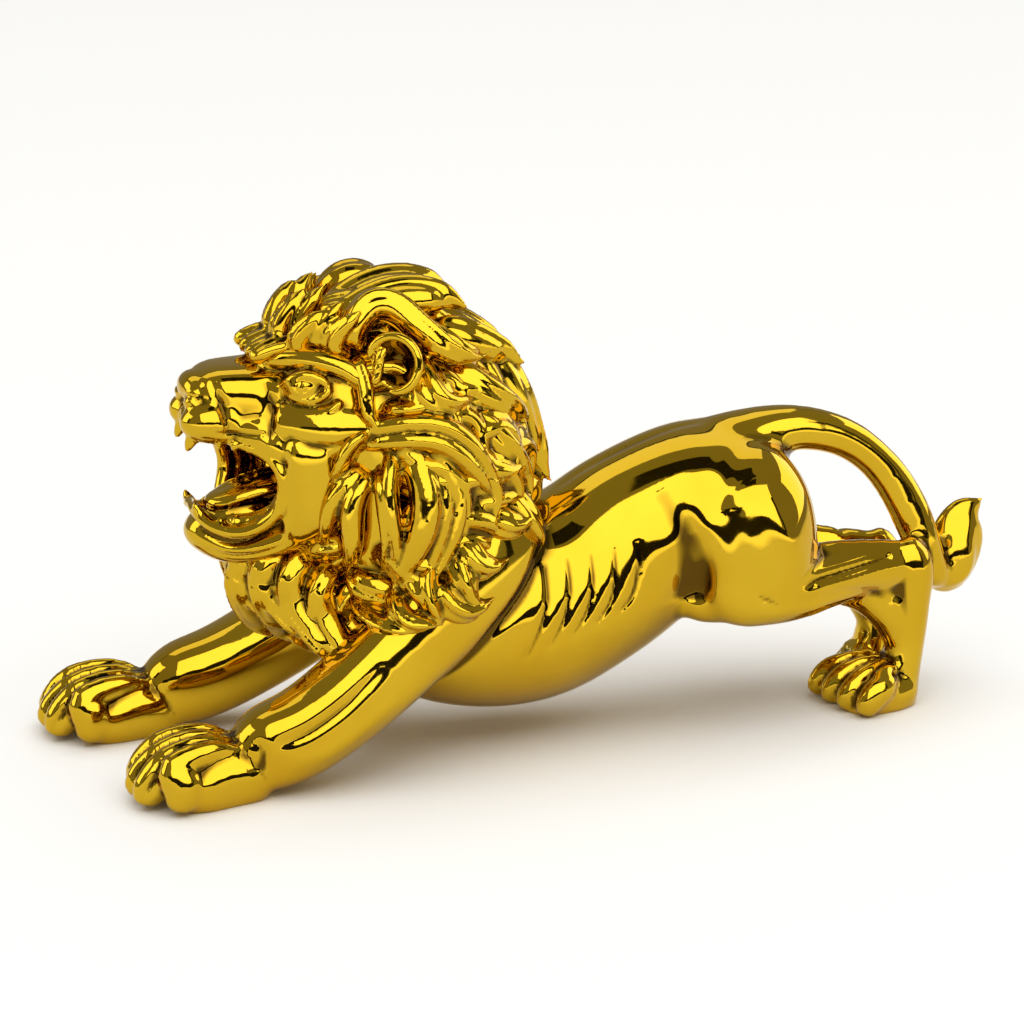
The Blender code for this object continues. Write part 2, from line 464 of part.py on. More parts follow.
def mane(clay, shoulders):
    draw = random.Random(SEED)
    verts, co, _, _ = clay.ball(64, 48)
    clay.place(verts, bent(CORE + co * CORE_RADII))
    clay.lump((-10, 0, 83), (11, 15, 9))                 # where the mane meets the back
    for back, count, length, wide, start in COMBED:
        for k in range(count):
            turn = start + 360 * k / count + draw.uniform(-4, 4)
            flank = math.sin(math.radians(turn))
            root = round_face(back + draw.uniform(-4, 4) + 8 * abs(flank), turn)
            sway = math.copysign(draw.uniform(0.5, 0.95), flank)
            path, outward = combed(root, length * draw.uniform(0.85, 1.15), sway, draw.uniform(-0.6, 0.6))
            clay.lock(path, outward, wide * 0.72, 5, draw.uniform(1, 2.4), draw.uniform(1, 3))
    for side in (-1, 1):
        for row in REAR_LOCKS + THROAT_LOCKS + CHEEK_LOCKS:
            flank_lock(clay, shoulders, side, *row)
        free_lock(clay, mirrored(CROWN_LOCK, side), 8.3, 6, (-52, 0, 88), 2.7, 2)
        free_lock(clay, mirrored(NAPE_LOCK, side), 6.5, 5.5, (-45, 0, 98), 1.5, 2)
        free_lock(clay, mirrored(BACK_LOCK, side), 6.5, 6, (-43, 0, 98), 1.5, 2)
        free_lock(clay, mirrored(ARCH_LOCK, side), 5.2, 5, (-50, 0, 105), 1, 3)
        free_lock(clay, mirrored(BEFORE_EAR, side), 2.8, 2.8, (-55, 0, 120), 0, 1)
        for x, y, tall, wide in FORELOCKS:
            steps = ((3, 0, 1), (-2.5, 0.4, 1), (-2, 0.75, 1.1), (2, 1.15, 1.25), (5, 1.4, 1.3))
            flame = [(x + dx, y * side * out, 133 + tall * up) for dx, up, out in steps]
            free_lock(clay, flame, wide, 3.6, (x + 25, 0, 120), 0.5, 0)
    for y in BROW_FRINGE:
        fringe = [(-74, y, 134.5), (-82, y, 137), (-88.5, y * 1.1, 136.8), (-93.8, y * 1.2, 134.6),
                  (-94.3 + abs(y) * 0.3, y * 1.25, 131.6)]
        free_lock(clay, fringe, 3.8, 3.4, (-84, 0, 118), 0.3, 0.6)
    for x, z, count, spread in BIB:
        for k in range(count):
            q = 2 * k / (count - 1) - 1
            sway = (3.6 if k % 2 == 0 else -3.6) + draw.uniform(-0.8, 0.8)
            length = BIB_LENGTH * draw.uniform(0.85, 1.15)
            steps = ((3, -0.1, 0.85, 0), (-1.5, 0.18, 1, 0.6), (-2 + 2 * abs(q), 0.42, 1.05, 1),
                     (1 + 3 * abs(q), 0.66, 1.1, 0.2), (5 + 3 * abs(q), 0.88, 1.1, -0.8),
                     (11 + 3 * abs(q), 1.05, 1.05, -0.4))
            lock = [(x + dx, spread * q * out + sway * aside, z - length * drop)
                    for dx, drop, out, aside in steps]
            free_lock(clay, lock, 4.2, 4.6, (-55, 0, 72), 1.5, 3)


def applied(piece):
    """Replaces a piece's mesh by its modifiers' result."""
    graph = bpy.context.evaluated_depsgraph_get()
    mesh = bpy.data.meshes.new_from_object(piece.evaluated_get(graph))
    piece.modifiers.clear()
    piece.data = mesh


def fuse(piece):
    skin = piece.modifiers.new("skin", "REMESH")
    skin.mode = "VOXEL"
    skin.voxel_size = SKIN * MM
    smooth = piece.modifiers.new("smooth", "SMOOTH")
    smooth.iterations = SMOOTHINGS
    applied(piece)


def ease(piece, broad, iterations):
    """Smooths a fused piece further, as much as broad(x, y, z) says from 0 to 1 at each point."""
    at = np.empty(len(piece.data.vertices) * 3, np.float32)
    piece.data.vertices.foreach_get("co", at)
    weight = np.clip(broad(*(at.reshape(-1, 3).T / MM)), 0, 1)
    group = piece.vertex_groups.new(name="broad")
    for level in range(1, 11):
        those = np.where(np.round(weight * 10) == level)[0]
        group.add(those.tolist(), level / 10, "REPLACE")
    smooth = piece.modifiers.new("ease", "SMOOTH")
    smooth.iterations = iterations
    smooth.vertex_group = group.name
    applied(piece)
    piece.vertex_groups.clear()


def broad_flank(x, y, z):
    """How broad the form is: 1 on flank and haunch, less on shanks and tail, 0 on hair and paws."""
    return np.minimum.reduce([
        (x - 6) / 10, (134 - x) / 6 * np.where((z > 60) & (x > 78), 0.12, 1),
        np.where(x > 85, (z - 16) / 8, 1), np.where((x > 84) & (z <= 60), 0.25, 1)])


class Skin:
    """The points of a fused piece, pressed in or raised along lines drawn on it."""

    def __init__(self, piece):
        self.piece = piece
        self.at = self.read("co") / MM
        self.normal = self.read("normal")
        bm = bmesh.new()
        bm.from_mesh(piece.data)
        self.tree = BVHTree.FromBMesh(bm)
        bm.free()

    def read(self, name):
        values = np.empty(len(self.piece.data.vertices) * 3, np.float32)
        self.piece.data.vertices.foreach_get(name, values)
        return values.reshape(-1, 3).astype(float)

    def seen(self, start, look):
        """The first point of the skin from start, looking along look, or the nearest one if none is seen."""
        start = Vector(start) * MM
        hit = self.tree.ray_cast(start, Vector(look))[0]
        if hit is None:
            hit = self.tree.find_nearest(start - start.dot(Vector(look)) * Vector(look))[0]
        return np.array(hit) / MM

    def stroke(self, line, width, depth, soft=False, taper=0.5):
        """Presses a furrow along a line. A depth below 0 raises a ridge."""
        fine = through(line, np.linspace(0, 1, 8 * len(line)))
        inside = (self.at > fine.min(0) - 2 * width) & (self.at < fine.max(0) + 2 * width)
        near = np.where(inside.all(1))[0]
        p = self.at[near]
        gap, along = np.full(len(p), 1e9), np.zeros(len(p))
        for i, (a, b) in enumerate(zip(fine[:-1], fine[1:])):
            t = np.clip((p - a) @ (b - a) / max((b - a) @ (b - a), 1e-9), 0, 1)
            to = np.linalg.norm(p - a - t[:, None] * (b - a), axis=1)
            closer = to < gap
            gap[closer], along[closer] = to[closer], (i + t[closer]) / (len(fine) - 1)
        fall = np.exp(-(1.8 * gap / width) ** 2) if soft else np.clip(1 - gap / width, 0, 1) ** 1.5
        fall *= np.sin(math.pi * np.clip(along, 0.001, 0.999)) ** taper
        self.at[near] -= self.normal[near] * (depth * fall)[:, None]

    def flank_stroke(self, side, line, width, depth, soft=False):
        """A stroke along x, z points as seen square on from a side."""
        self.stroke([self.seen((x, 200 * side, z), (0, -side, 0)) for x, z in line], width, depth, soft)

    def done(self):
        self.piece.data.vertices.foreach_set("co", (self.at * MM).astype(np.float32).ravel())
        self.piece.data.update()


def carve_trunk(skin, side):
    for k in range(RIBS):
        x, top, bottom = -8 + 7.6 * k, 64 + 1.2 * k, 34 + 3 * k
        rib = [(x + 3, top), (x + 3, top - 9), (x + 0.5, top - 18), (x - 5, bottom)]
        skin.flank_stroke(side, rib, 2.6, 1.1)
    # hollow of the flank, and the thigh's front edge
    skin.flank_stroke(side, [(34, 84), (38, 76), (42, 66), (43, 56), (42, 46)], 11, 2.6, True)
    skin.flank_stroke(side, [(44, 70), (46.5, 62), (47.5, 54), (47.5, 46)], 5, 0.9, True)
    # planes of the thigh: a ridge between two hollows
    skin.flank_stroke(side, [(62, 86), (68, 76), (74, 65), (80, 55)], 9, -1.2, True)
    skin.flank_stroke(side, [(55, 78), (56, 68), (58, 58), (63, 50)], 8, 1.0, True)
    # knee, and the groove between shank and heel cord
    skin.flank_stroke(side, [(62, 50), (67, 47.5), (72, 44.5)], 3, 0.9)
    skin.flank_stroke(side, [(80, 50.5), (86, 52), (92, 52.3), (100, 52.4), (109, 52.6), (115, 53)], 2.6, 1.4)
    skin.flank_stroke(side, [(78, 45), (88, 46), (98, 45), (108, 42), (115, 36)], 3.5, 0.8)
    # behind the shoulder
    skin.flank_stroke(side, [(-2, 78), (-6, 68), (-14, 56), (-24, 46), (-34, 36), (-44, 28)], 4, 1.8, True)


def carve_foreleg(skin, side):
    reach = FAR_REACH * (side > 0)

    def at(rows):
        return [(x - reach * share, z) for x, share, z in rows]
    skin.flank_stroke(side, at([(-103, 1, 21), (-101, 1, 17), (-101, 1, 11)]), 3, 1.2)
    cord = at([(-97, 0.95, 19), (-86, 0.8, 23), (-74, 0.65, 31), (-62, 0.5, 42)])
    skin.flank_stroke(side, cord, 4, 1, True)
    muscle = at([(-94, 0.95, 12), (-82, 0.8, 15), (-70, 0.6, 22), (-58, 0.4, 31)])
    skin.flank_stroke(side, muscle, 5, -0.9, True)
    for k in range(TOES - 1):
        inner, outer = fore_toe(k, side), fore_toe(k + 1, side)
        tops = [((a[0] + b[0]) / 2, side * (a[1] + b[1]) / 2) for a, b in zip(inner, outer)]
        line = [skin.seen((x, y, 40), (0, 0, -1)) for x, y in tops[:3]]
        x, y = tops[4]
        skin.stroke([*line, (x - 4, y, 8), (x - 5, y, 1)], 2.2, 1.6, taper=0.35)


def carve_hind_paw(skin, side, toe_tips, paw_middle):
    for (xa, ya), (xb, yb) in zip(toe_tips, toe_tips[1:]):
        x, y = (xa + xb) / 2, (ya + yb) / 2
        root_y = paw_middle + (y - paw_middle) * 0.5
        tops = ((117, root_y), (112, root_y + (y - root_y) * 0.3), (x + 8, root_y + (y - root_y) * 0.7))
        line = [skin.seen((px, py * side, 19), (0, 0, -1)) for px, py in tops]
        skin.stroke([*line, (x + 0.5, y * side, 6.5), (x - 1.5, y * side, 1)], 2.2, 1.6, taper=0.35)


def carve_face(skin, side):
    nostril = [(-116.5, 2.6, 121.8), (-116, 5, 122.2), (-114, 8, 123), (-111.5, 9.6, 122.2)]
    skin.stroke(mirrored(nostril, side), 2.2, 2)
    # folds of the muzzle, the upper lip's edge and the lower lip
    skin.flank_stroke(side, [(-107.5, 128), (-105.5, 122), (-104, 116), (-103, 110.5)], 2.6, 1.7)
    skin.flank_stroke(side, [(-92, 128), (-90.5, 121), (-91.5, 115), (-92, 110)], 3.2, 1.9)
    skin.flank_stroke(side, [(-92, 80), (-99, 76.5), (-106, 76.5), (-112, 79.5)], 2.4, 1.1)


def keep_outer_skin(piece):
    """Drops the small closed shells left where locks wall in a space."""
    bm = bmesh.new()
    bm.from_mesh(piece.data)
    left, shells = set(bm.verts), []
    while left:
        shell, edge = set(), {left.pop()}
        while edge:
            vert = edge.pop()
            shell.add(vert)
            beside = {e.other_vert(vert) for e in vert.link_edges} & left
            left -= beside
            edge |= beside
        shells.append(shell)
    shells.sort(key=len)
    bmesh.ops.delete(bm, geom=[v for shell in shells[:-1] for v in shell], context="VERTS")
    bm.to_mesh(piece.data)
    bm.free()


def thin(piece, facets):
    modifier = piece.modifiers.new("thin", "DECIMATE")
    modifier.ratio = facets / (2 * len(piece.data.polygons))
    modifier.use_collapse_triangulate = True
    applied(piece)


def cut_soles(piece):
    """Cuts the paws flat on the ground, and centres the lion over the origin."""
    bm = bmesh.new()
    bm.from_mesh(piece.data)
    for vert in bm.verts:
        if abs(vert.co.z) < SOLE_SNAP * MM:
            vert.co.z = 0
    everything = bm.verts[:] + bm.edges[:] + bm.faces[:]
    bmesh.ops.bisect_plane(bm, geom=everything, dist=1e-7, plane_co=(0, 0, 0), plane_no=(0, 0, -1),
                           clear_outer=True)
    bmesh.ops.holes_fill(bm, edges=[e for e in bm.edges if e.is_boundary], sides=0)
    bmesh.ops.triangulate(bm, faces=[f for f in bm.faces if len(f.verts) > 3])
    bmesh.ops.dissolve_degenerate(bm, dist=1e-5, edges=bm.edges[:])
    bmesh.ops.triangulate(bm, faces=[f for f in bm.faces if len(f.verts) > 3])
    bmesh.ops.recalc_face_normals(bm, faces=bm.faces[:])
    lowest = [min(v.co[axis] for v in bm.verts) for axis in range(2)]
    highest = [max(v.co[axis] for v in bm.verts) for axis in range(2)]
    middle = Vector(((lowest[0] + highest[0]) / 2, (lowest[1] + highest[1]) / 2, 0))
    bmesh.ops.translate(bm, vec=-middle, verts=bm.verts[:])
    bm.to_mesh(piece.data)
    bm.free()


def gold():
    material = bpy.data.materials.new("mirror_gold")
    material.use_nodes = True
    shader = material.node_tree.nodes["Principled BSDF"]
    shader.inputs["Base Color"].default_value = GOLD
    shader.inputs["Metallic"].default_value = 1.0
    shader.inputs["Roughness"].default_value = 0.06
    return material


def main():
    for piece in list(bpy.data.objects):
        bpy.data.objects.remove(piece)
    clay = Clay()
    trunk_and_tail(clay)
    hind_leg(clay, -1, LEFT_HIND_TOES, 12.6, 13.6, 0, 0, 0)
    hind_leg(clay, 1, RIGHT_HIND_TOES, 11.6, 8.2, 11, 5, RIGHT_DROP)
    foreleg(clay, -1)
    foreleg(clay, 1)
    shoulders = BVHTree.FromBMesh(clay.bm)
    head(clay)
    mane(clay, shoulders)
    lion = clay.finished("lion")
    fuse(lion)
    keep_outer_skin(lion)
    ease(lion, broad_flank, 35)
    skin = Skin(lion)
    for side in (-1, 1):
        carve_trunk(skin, side)
        carve_foreleg(skin, side)
        carve_face(skin, side)
    carve_hind_paw(skin, -1, LEFT_HIND_TOES, 12.6)
    carve_hind_paw(skin, 1, RIGHT_HIND_TOES, 11.6)
    skin.done()
    thin(lion, FACETS)
    cut_soles(lion)
    lion.data.materials.append(gold())
    lion.data.shade_smooth()
    lion.data.set_sharp_from_angle(angle=math.radians(50))


main()
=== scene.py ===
# %% [markdown]
# # A roaring lion, cast and plated in mirror gold
# The real thing is one casting, polished and plated until it reflects the room like a mirror. The packed
# model gives its size, stance and main forms as plain facets. Here the same forms are laid out again in
# finer clay, so that the locks of the mane, the face and the paws read from close by. A sculptor would
# do this on a touch-sensitive screen. A script can do it with a few kinds of stroke instead: drawn-out
# balls, pointed strands, and furrows pressed into a fused skin.

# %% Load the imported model
import math
import random

import bmesh
import bpy
import numpy as np
from mathutils import Matrix, Vector
from mathutils.bvhtree import BVHTree


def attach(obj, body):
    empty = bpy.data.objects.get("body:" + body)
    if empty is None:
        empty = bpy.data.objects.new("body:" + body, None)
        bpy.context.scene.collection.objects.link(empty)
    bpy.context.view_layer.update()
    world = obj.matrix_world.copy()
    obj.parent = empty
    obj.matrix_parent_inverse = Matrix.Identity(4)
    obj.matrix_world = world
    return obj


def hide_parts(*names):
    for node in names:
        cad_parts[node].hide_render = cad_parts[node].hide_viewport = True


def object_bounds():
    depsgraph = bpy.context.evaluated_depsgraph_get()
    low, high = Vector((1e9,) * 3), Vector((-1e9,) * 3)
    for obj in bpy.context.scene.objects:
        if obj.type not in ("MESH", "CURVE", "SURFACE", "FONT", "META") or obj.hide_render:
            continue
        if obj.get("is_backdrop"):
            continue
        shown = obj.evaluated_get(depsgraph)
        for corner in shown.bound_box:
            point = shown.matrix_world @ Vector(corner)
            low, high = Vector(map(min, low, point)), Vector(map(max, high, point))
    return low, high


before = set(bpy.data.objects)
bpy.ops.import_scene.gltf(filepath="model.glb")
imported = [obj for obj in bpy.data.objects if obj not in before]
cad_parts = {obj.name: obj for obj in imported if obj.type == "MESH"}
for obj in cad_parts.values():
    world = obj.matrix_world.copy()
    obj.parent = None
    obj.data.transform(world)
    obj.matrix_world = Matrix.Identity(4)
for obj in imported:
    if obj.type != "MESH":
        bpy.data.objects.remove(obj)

CAD_LOW, CAD_HIGH = (Vector(corner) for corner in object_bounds())
MM = 0.001
print("casting", [round(size / MM, 1) for size in CAD_HIGH - CAD_LOW], "mm")

# %% [markdown]
# ## Lines through given places
# Every form below runs along a middle line. A spline through a handful of places, the kind that passes
# exactly through each of them, keeps the lists short and the curves soft.

# %% A spline through rows of numbers
def unit(v):
    v = np.asarray(v, float)
    return v / np.maximum(np.linalg.norm(v, axis=-1, keepdims=True), 1e-9)


def through(rows, share):
    """The rows, read as a smooth curve, at each share of the way from 0 to 1."""
    rows = np.asarray(rows, float)
    last = len(rows) - 1
    s = np.clip(share, 0, 1) * last
    i = np.minimum(s.astype(int), last - 1)
    f = (s - i)[:, None]
    a, b, c, d = (rows[np.clip(i + k, 0, last)] for k in (-1, 0, 1, 2))
    return b + 0.5 * f * ((c - a) + f * ((2 * a - 5 * b + 4 * c - d) + f * (3 * (b - c) + d - a)))


def heading(rows, share, step):
    """The way that curve runs at each share, taken over a step to both sides."""
    before, after = (through(rows, share + way)[:, :3] for way in (-step, step))
    return unit(after - before)


def mirrored(rows, side):
    """Rows laid out for the lion's right, taken to that side: 1 is right, -1 is left."""
    return [(x, y * side, z, *rest) for x, y, z, *rest in rows]


# %% [markdown]
# ## Clay
# A limb is a ball pulled out along a line, wide and deep as its rows say. A lock of hair is a few thin
# strands side by side, each flat at the root, swelling, and drawn to a point. All of them start as
# Blender's own sphere, poured into one mesh, and only their points are moved. They overlap freely,
# because the next step fuses them.

# %% Drawn-out balls and pointed strands
def placed(name, data):
    """A new object in the scene, made of a mesh, a light or a camera."""
    piece = bpy.data.objects.new(name, data)
    bpy.context.scene.collection.objects.link(piece)
    return piece


class Clay:
    """Balls poured into one mesh and pulled into shape, in millimetres."""

    def __init__(self):
        self.bm = bmesh.new()
        self.balls = {}

    def ball(self, sides, rings):
        """A new ball: its verts, their places on a unit ball, share from pole to pole, turn round it."""
        if (sides, rings) not in self.balls:
            one = bmesh.new()
            bmesh.ops.create_uvsphere(one, u_segments=sides, v_segments=rings, radius=1)
            self.balls[sides, rings] = bpy.data.meshes.new("ball")
            one.to_mesh(self.balls[sides, rings])
            one.free()
        first = len(self.bm.verts)
        self.bm.from_mesh(self.balls[sides, rings])
        self.bm.verts.ensure_lookup_table()
        verts = self.bm.verts[first:]
        co = np.array([v.co for v in verts])
        return verts, co, np.arccos(np.clip(co[:, 2], -1, 1)) / math.pi, np.arctan2(co[:, 1], co[:, 0])

    def place(self, verts, points):
        for vert, point in zip(verts, points):
            vert.co = point * MM

    def lump(self, middle, radii):
        verts, co, _, _ = self.ball(28, 20)
        self.place(verts, np.array(middle, float) + co * radii)

    def drawn(self, rows, across=(0, 1, 0), sides=20, rings=24, fullness=6, boxy=0):
        """A ball drawn out along rows of x, y, z, half width along across, half depth."""
        verts, co, share, angle = self.ball(sides, rings)
        share = 0.5 * share + 0.25 * (1 - co[:, 2])
        p = through(rows, share)
        ahead = heading(rows, share, 0.001)
        b = np.tile(np.asarray(across, float), (len(share), 1))
        b = unit(b - (b * ahead).sum(1)[:, None] * ahead)
        n = np.cross(ahead, b)
        close = np.sqrt(np.clip(1 - np.abs(2 * share - 1) ** fullness, 0, 1))
        c, s = np.cos(angle), np.sin(angle)
        square = (np.abs(c) ** (2 + boxy) + np.abs(s) ** (2 + boxy)) ** (-1 / (2 + boxy))
        width = (p[:, 3] * close * square * c)[:, None]
        depth = (p[:, 4] * close * square * s)[:, None]
        self.place(verts, p[:, :3] + b * width + n * depth)

    def strand(self, path, outward, wide, high, lift, curl, across, start=0.0, stop=1.0):
        """A pointed strand along path, its middle line off to one side by across."""
        verts, _, share0, angle = self.ball(12, 26)
        share = start + (stop - start) * share0
        p, n = through(path, share), unit(through(outward, share))
        ahead = heading(path, share, 0.02)
        b = unit(np.cross(n, ahead))
        n = np.cross(ahead, b)
        swell = np.sin(math.pi * (0.25 + 0.75 * share))
        begin = np.sqrt(np.clip(1 - (1 - np.clip(share0 / 0.12, 0, 1)) ** 2, 0, 1))
        end = np.clip((1 - share0) / 0.22, 0, 1) ** 0.8
        off = across * swell * np.clip((1 - share) / 0.25, 0, 1) ** 0.7
        width = wide * (0.25 + 0.75 * swell) * begin * end * np.cos(angle)
        lens = np.sin(angle) * np.abs(np.sin(angle)) ** 0.3
        depth = high * (0.35 + 0.65 * swell) * begin * end * lens
        rise = lift * np.sin(math.pi * np.clip(share * 1.1, 0, 1)) ** 0.8 + curl * share ** 2.5
        rise = rise - 0.35 * np.abs(across) - 0.7 * high * np.clip(1 - share0 / 0.2, 0, 1) ** 2
        self.place(verts, p + b * (width + off)[:, None] + n * (depth + rise)[:, None])

    def lock(self, path, outward, wide, high, lift, curl, strands=3):
        """A lock of one, two or three strands that end at different places."""
        if strands == 1:
            self.strand(path, outward, wide, high * 1.15, lift, curl, 0)
            return
        if strands == 2:
            self.strand(path, outward, wide * 0.56, high, lift, curl, wide * 0.42)
            self.strand(path, outward, wide * 0.56, high, lift, curl, -wide * 0.42, 0.02, 0.93)
            return
        self.strand(path, outward, wide * 0.55, high, lift + 0.4, curl, 0)
        self.strand(path, outward, wide * 0.5, high * 0.9, lift, curl * 0.8, wide * 0.52, 0.03, 0.95)
        self.strand(path, outward, wide * 0.5, high * 0.9, lift, curl * 0.6, -wide * 0.52, 0.0, 0.86)

    def finished(self, name):
        bmesh.ops.recalc_face_normals(self.bm, faces=self.bm.faces[:])
        mesh = bpy.data.meshes.new(name)
        self.bm.to_mesh(mesh)
        self.bm.free()
        return placed(name, mesh)


# %% [markdown]
# ## Fusing
# The Remesh modifier in voxel mode throws a fine net over everything that overlaps and keeps only the
# outer skin, as wax flows together. A Smooth modifier then takes the grain of the net out, which matters
# here more than on a dull surface, since a mirror shows every ripple.

# %% One skin from many balls
LION = []


def columns(mesh, name):
    """The places or the normals of a mesh's points, in rows of three."""
    values = np.empty(len(mesh.vertices) * 3, np.float32)
    mesh.vertices.foreach_get(name, values)
    return values.reshape(-1, 3)


def keep_result(piece):
    """Makes what a piece's modifiers show its own mesh."""
    graph = bpy.context.evaluated_depsgraph_get()
    mesh = bpy.data.meshes.new_from_object(piece.evaluated_get(graph))
    piece.modifiers.clear()
    piece.data = mesh
    mesh.name = piece.name


def fuse(piece, grain, smoothings):
    """Fuses a piece's balls into one skin and keeps the result as its mesh."""
    skin = piece.modifiers.new("skin", "REMESH")
    skin.mode = "VOXEL"
    skin.voxel_size = grain * MM
    smooth = piece.modifiers.new("smooth", "SMOOTH")
    smooth.iterations = smoothings
    keep_result(piece)
    LION.append(piece)
    print(piece.name, 2 * len(piece.data.polygons), "triangles")
    return piece


# %% [markdown]
# A back or a thigh wants more smoothing than a toe or an eyelid. So a fused piece is smoothed a second
# time through a vertex group, which says from 0 to 1 how broad the surface is at each point.

# %% Easing broad surfaces
def ease(piece, broad, iterations):
    """Smooths a fused piece further, as much as broad(x, y, z) says from 0 to 1 at each point."""
    weight = np.clip(broad(*(columns(piece.data, "co").T / MM)), 0, 1)
    group = piece.vertex_groups.new(name="broad")
    for level in range(1, 11):
        those = np.where(np.round(weight * 10) == level)[0]
        group.add(those.tolist(), level / 10, "REPLACE")
    smooth = piece.modifiers.new("ease", "SMOOTH")
    smooth.iterations = iterations
    smooth.vertex_group = group.name
    keep_result(piece)
    piece.vertex_groups.clear()
    print(piece.name, "eased in", int((weight > 0).sum()), "points")


# %% [markdown]
# ## Furrows and ridges
# Ribs, toes and the folds of the face are drawn on the fused skin with a line, a width and a depth: a
# modeller's loop tool. Where a line is easier to give as seen from the side, a ray finds the skin under
# it. Points near the line sink along their own normals, most in the middle of the stroke.

# %% A modelling tool for the fused skin
class Skin:
    """The points of a fused piece, pressed in or raised along lines drawn on it."""

    def __init__(self, piece):
        self.piece = piece
        self.at = columns(piece.data, "co").astype(float) / MM
        self.normal = columns(piece.data, "normal").astype(float)
        bm = bmesh.new()
        bm.from_mesh(piece.data)
        self.tree = BVHTree.FromBMesh(bm)
        bm.free()

    def seen(self, start, look):
        """The first point of the skin from start, looking along look, or the nearest one if none is seen."""
        start, look = Vector(start) * MM, Vector(look)
        hit = self.tree.ray_cast(start, look)[0]
        if hit is None:
            hit = self.tree.find_nearest(start - start.dot(look) * look)[0]
        return np.array(hit) / MM

    def nearest(self, p):
        return np.array(self.tree.find_nearest(Vector(p) * MM)[0]) / MM

    def stroke(self, line, width, depth, soft=False, taper=0.5):
        """Presses a furrow along a line. A depth below 0 raises a ridge."""
        fine = through(line, np.linspace(0, 1, 8 * len(line)))
        inside = (self.at > fine.min(0) - 2 * width) & (self.at < fine.max(0) + 2 * width)
        near = np.where(inside.all(1))[0]
        p = self.at[near]
        gap, along = np.full(len(p), 1e9), np.zeros(len(p))
        for i, (a, b) in enumerate(zip(fine[:-1], fine[1:])):
            t = np.clip((p - a) @ (b - a) / max((b - a) @ (b - a), 1e-9), 0, 1)
            to = np.linalg.norm(p - a - t[:, None] * (b - a), axis=1)
            closer = to < gap
            gap[closer], along[closer] = to[closer], (i + t[closer]) / (len(fine) - 1)
        fall = np.exp(-(1.8 * gap / width) ** 2) if soft else np.clip(1 - gap / width, 0, 1) ** 1.5
        fall *= np.sin(math.pi * np.clip(along, 0.001, 0.999)) ** taper
        self.at[near] -= self.normal[near] * (depth * fall)[:, None]

    def flank_stroke(self, side, line, width, depth, soft=False):
        """A stroke along x, z points as seen square on from a side."""
        self.stroke([self.seen((x, 200 * side, z), (0, -side, 0)) for x, z in line], width, depth, soft)

    def done(self):
        self.piece.data.vertices.foreach_set("co", (self.at * MM).astype(np.float32).ravel())
        self.piece.data.update()


# %% [markdown]
# ## Body and tail
# The lion bows: its chest is near the ground, its rump is high, and the back runs up to the root of the
# tail in one long line. Each row below is a place on the middle line, then half the width and half the
# depth there. The tail leaves the back in the same line, drops behind the thighs and ends in a leaf-like
# tuft that points up.

# %% Trunk, tail and tuft
TRUNK = [
    (-76, 0, 60, 12, 14), (-57, 0, 53, 25, 26), (-32, 0, 44.8, 32, 31.8), (-6, 0, 43, 31.5, 33.2),
    (15, 0, 49.8, 29.5, 31.2), (32, 0, 60.3, 27, 30.7), (47, 0, 68.3, 27.5, 28.8), (60, 0, 72.5, 28, 27),
    (72, 0, 76, 24, 24), (86, 0, 79, 14, 18),
]
TAIL = [
    (42, 0, 84, 14, 10), (58, 0, 88.5, 13, 11), (72, 0, 92, 10.5, 9.6), (84, 0, 93.8, 8, 8),
    (96, 0, 92, 6.6, 7.2), (106, 0, 87.8, 6, 6.7), (114.4, -0.5, 81.3, 5.7, 6.4),
    (121.4, -1.5, 72.8, 5.5, 6.6), (127.2, -3, 62, 5.5, 6.8), (131.6, -4, 51, 5.7, 6.2),
    (136.2, -3, 41, 5.9, 5.8), (141.5, 1, 37.8, 6, 5.6),
]
TUFT = [(135, -1, 37, 4, 5), (142.5, 1, 38.4, 6, 7.6), (145.6, 2, 45.5, 6, 9.2), (146.8, 2, 53, 4.8, 9),
        (149.6, 2, 59, 3, 6.2), (155.4, 2, 63, 0.7, 1)]

body = Clay()
body.drawn(TRUNK, sides=40, rings=48, fullness=8)
body.drawn(TAIL, sides=18, rings=50, fullness=10)
body.drawn(TUFT, sides=18, rings=24, fullness=5)
for side in (-1, 1):
    blade = [(137, 3 * side, 36.5, 2.5, 3), (144.5, 1.5 + 5.6 * side, 40, 2.2, 4.5),
             (146, 2 + 5.4 * side, 48.5, 1.8, 5), (151, 2 + 1.8 * side, 60, 0.6, 1)]
    body.drawn(blade, sides=12, fullness=4)
print("trunk and tail", len(body.bm.verts), "points")

# %% [markdown]
# ## Hind legs
# Both hocks stand straight up under the tail and the shanks lie almost level, as in a cat that is about
# to rise from a stretch. The heel cord is a thin form of its own above the shank. The right paw stands a
# little further back, and its toes are narrower, because it is seen past the left one.

# %% Thigh, shank, heel cord and paw
HIND_TRACK = 12.3
THIGH = [
    (62, 4, 88, 12, 14), (64, 8, 83, 17, 18.5), (65.5, 13, 74, 19.5, 21.6), (66.5, 18, 63, 18, 22),
    (66, 21.5, 52, 14.5, 20.5), (62.5, 24, 42.5, 10.5, 16.5), (61, 24.5, 36, 7, 10),
]
SHANK = [
    (52, 24.5, 48, 8, 8.5), (64, 24.5, 46.5, 10.5, 10.5), (78, 23, 47, 11, 11), (92, 19.5, 47.6, 9.5, 9.6),
    (106, 15.5, 47.8, 7.5, 8.6), (116, 13.5, 47.5, 6.7, 8), (123, 13, 47.5, 6.2, 7.2),
]
HEEL_CORD = [(84, 19, 56, 4.5, 4.5), (98, 17, 56, 3.6, 3.6), (110, 14.5, 54.5, 3.4, 3.4),
             (121, 13, 52, 3.6, 3.6), (126, 13, 48, 3.5, 3.5)]
RIGHT_DROP = 5
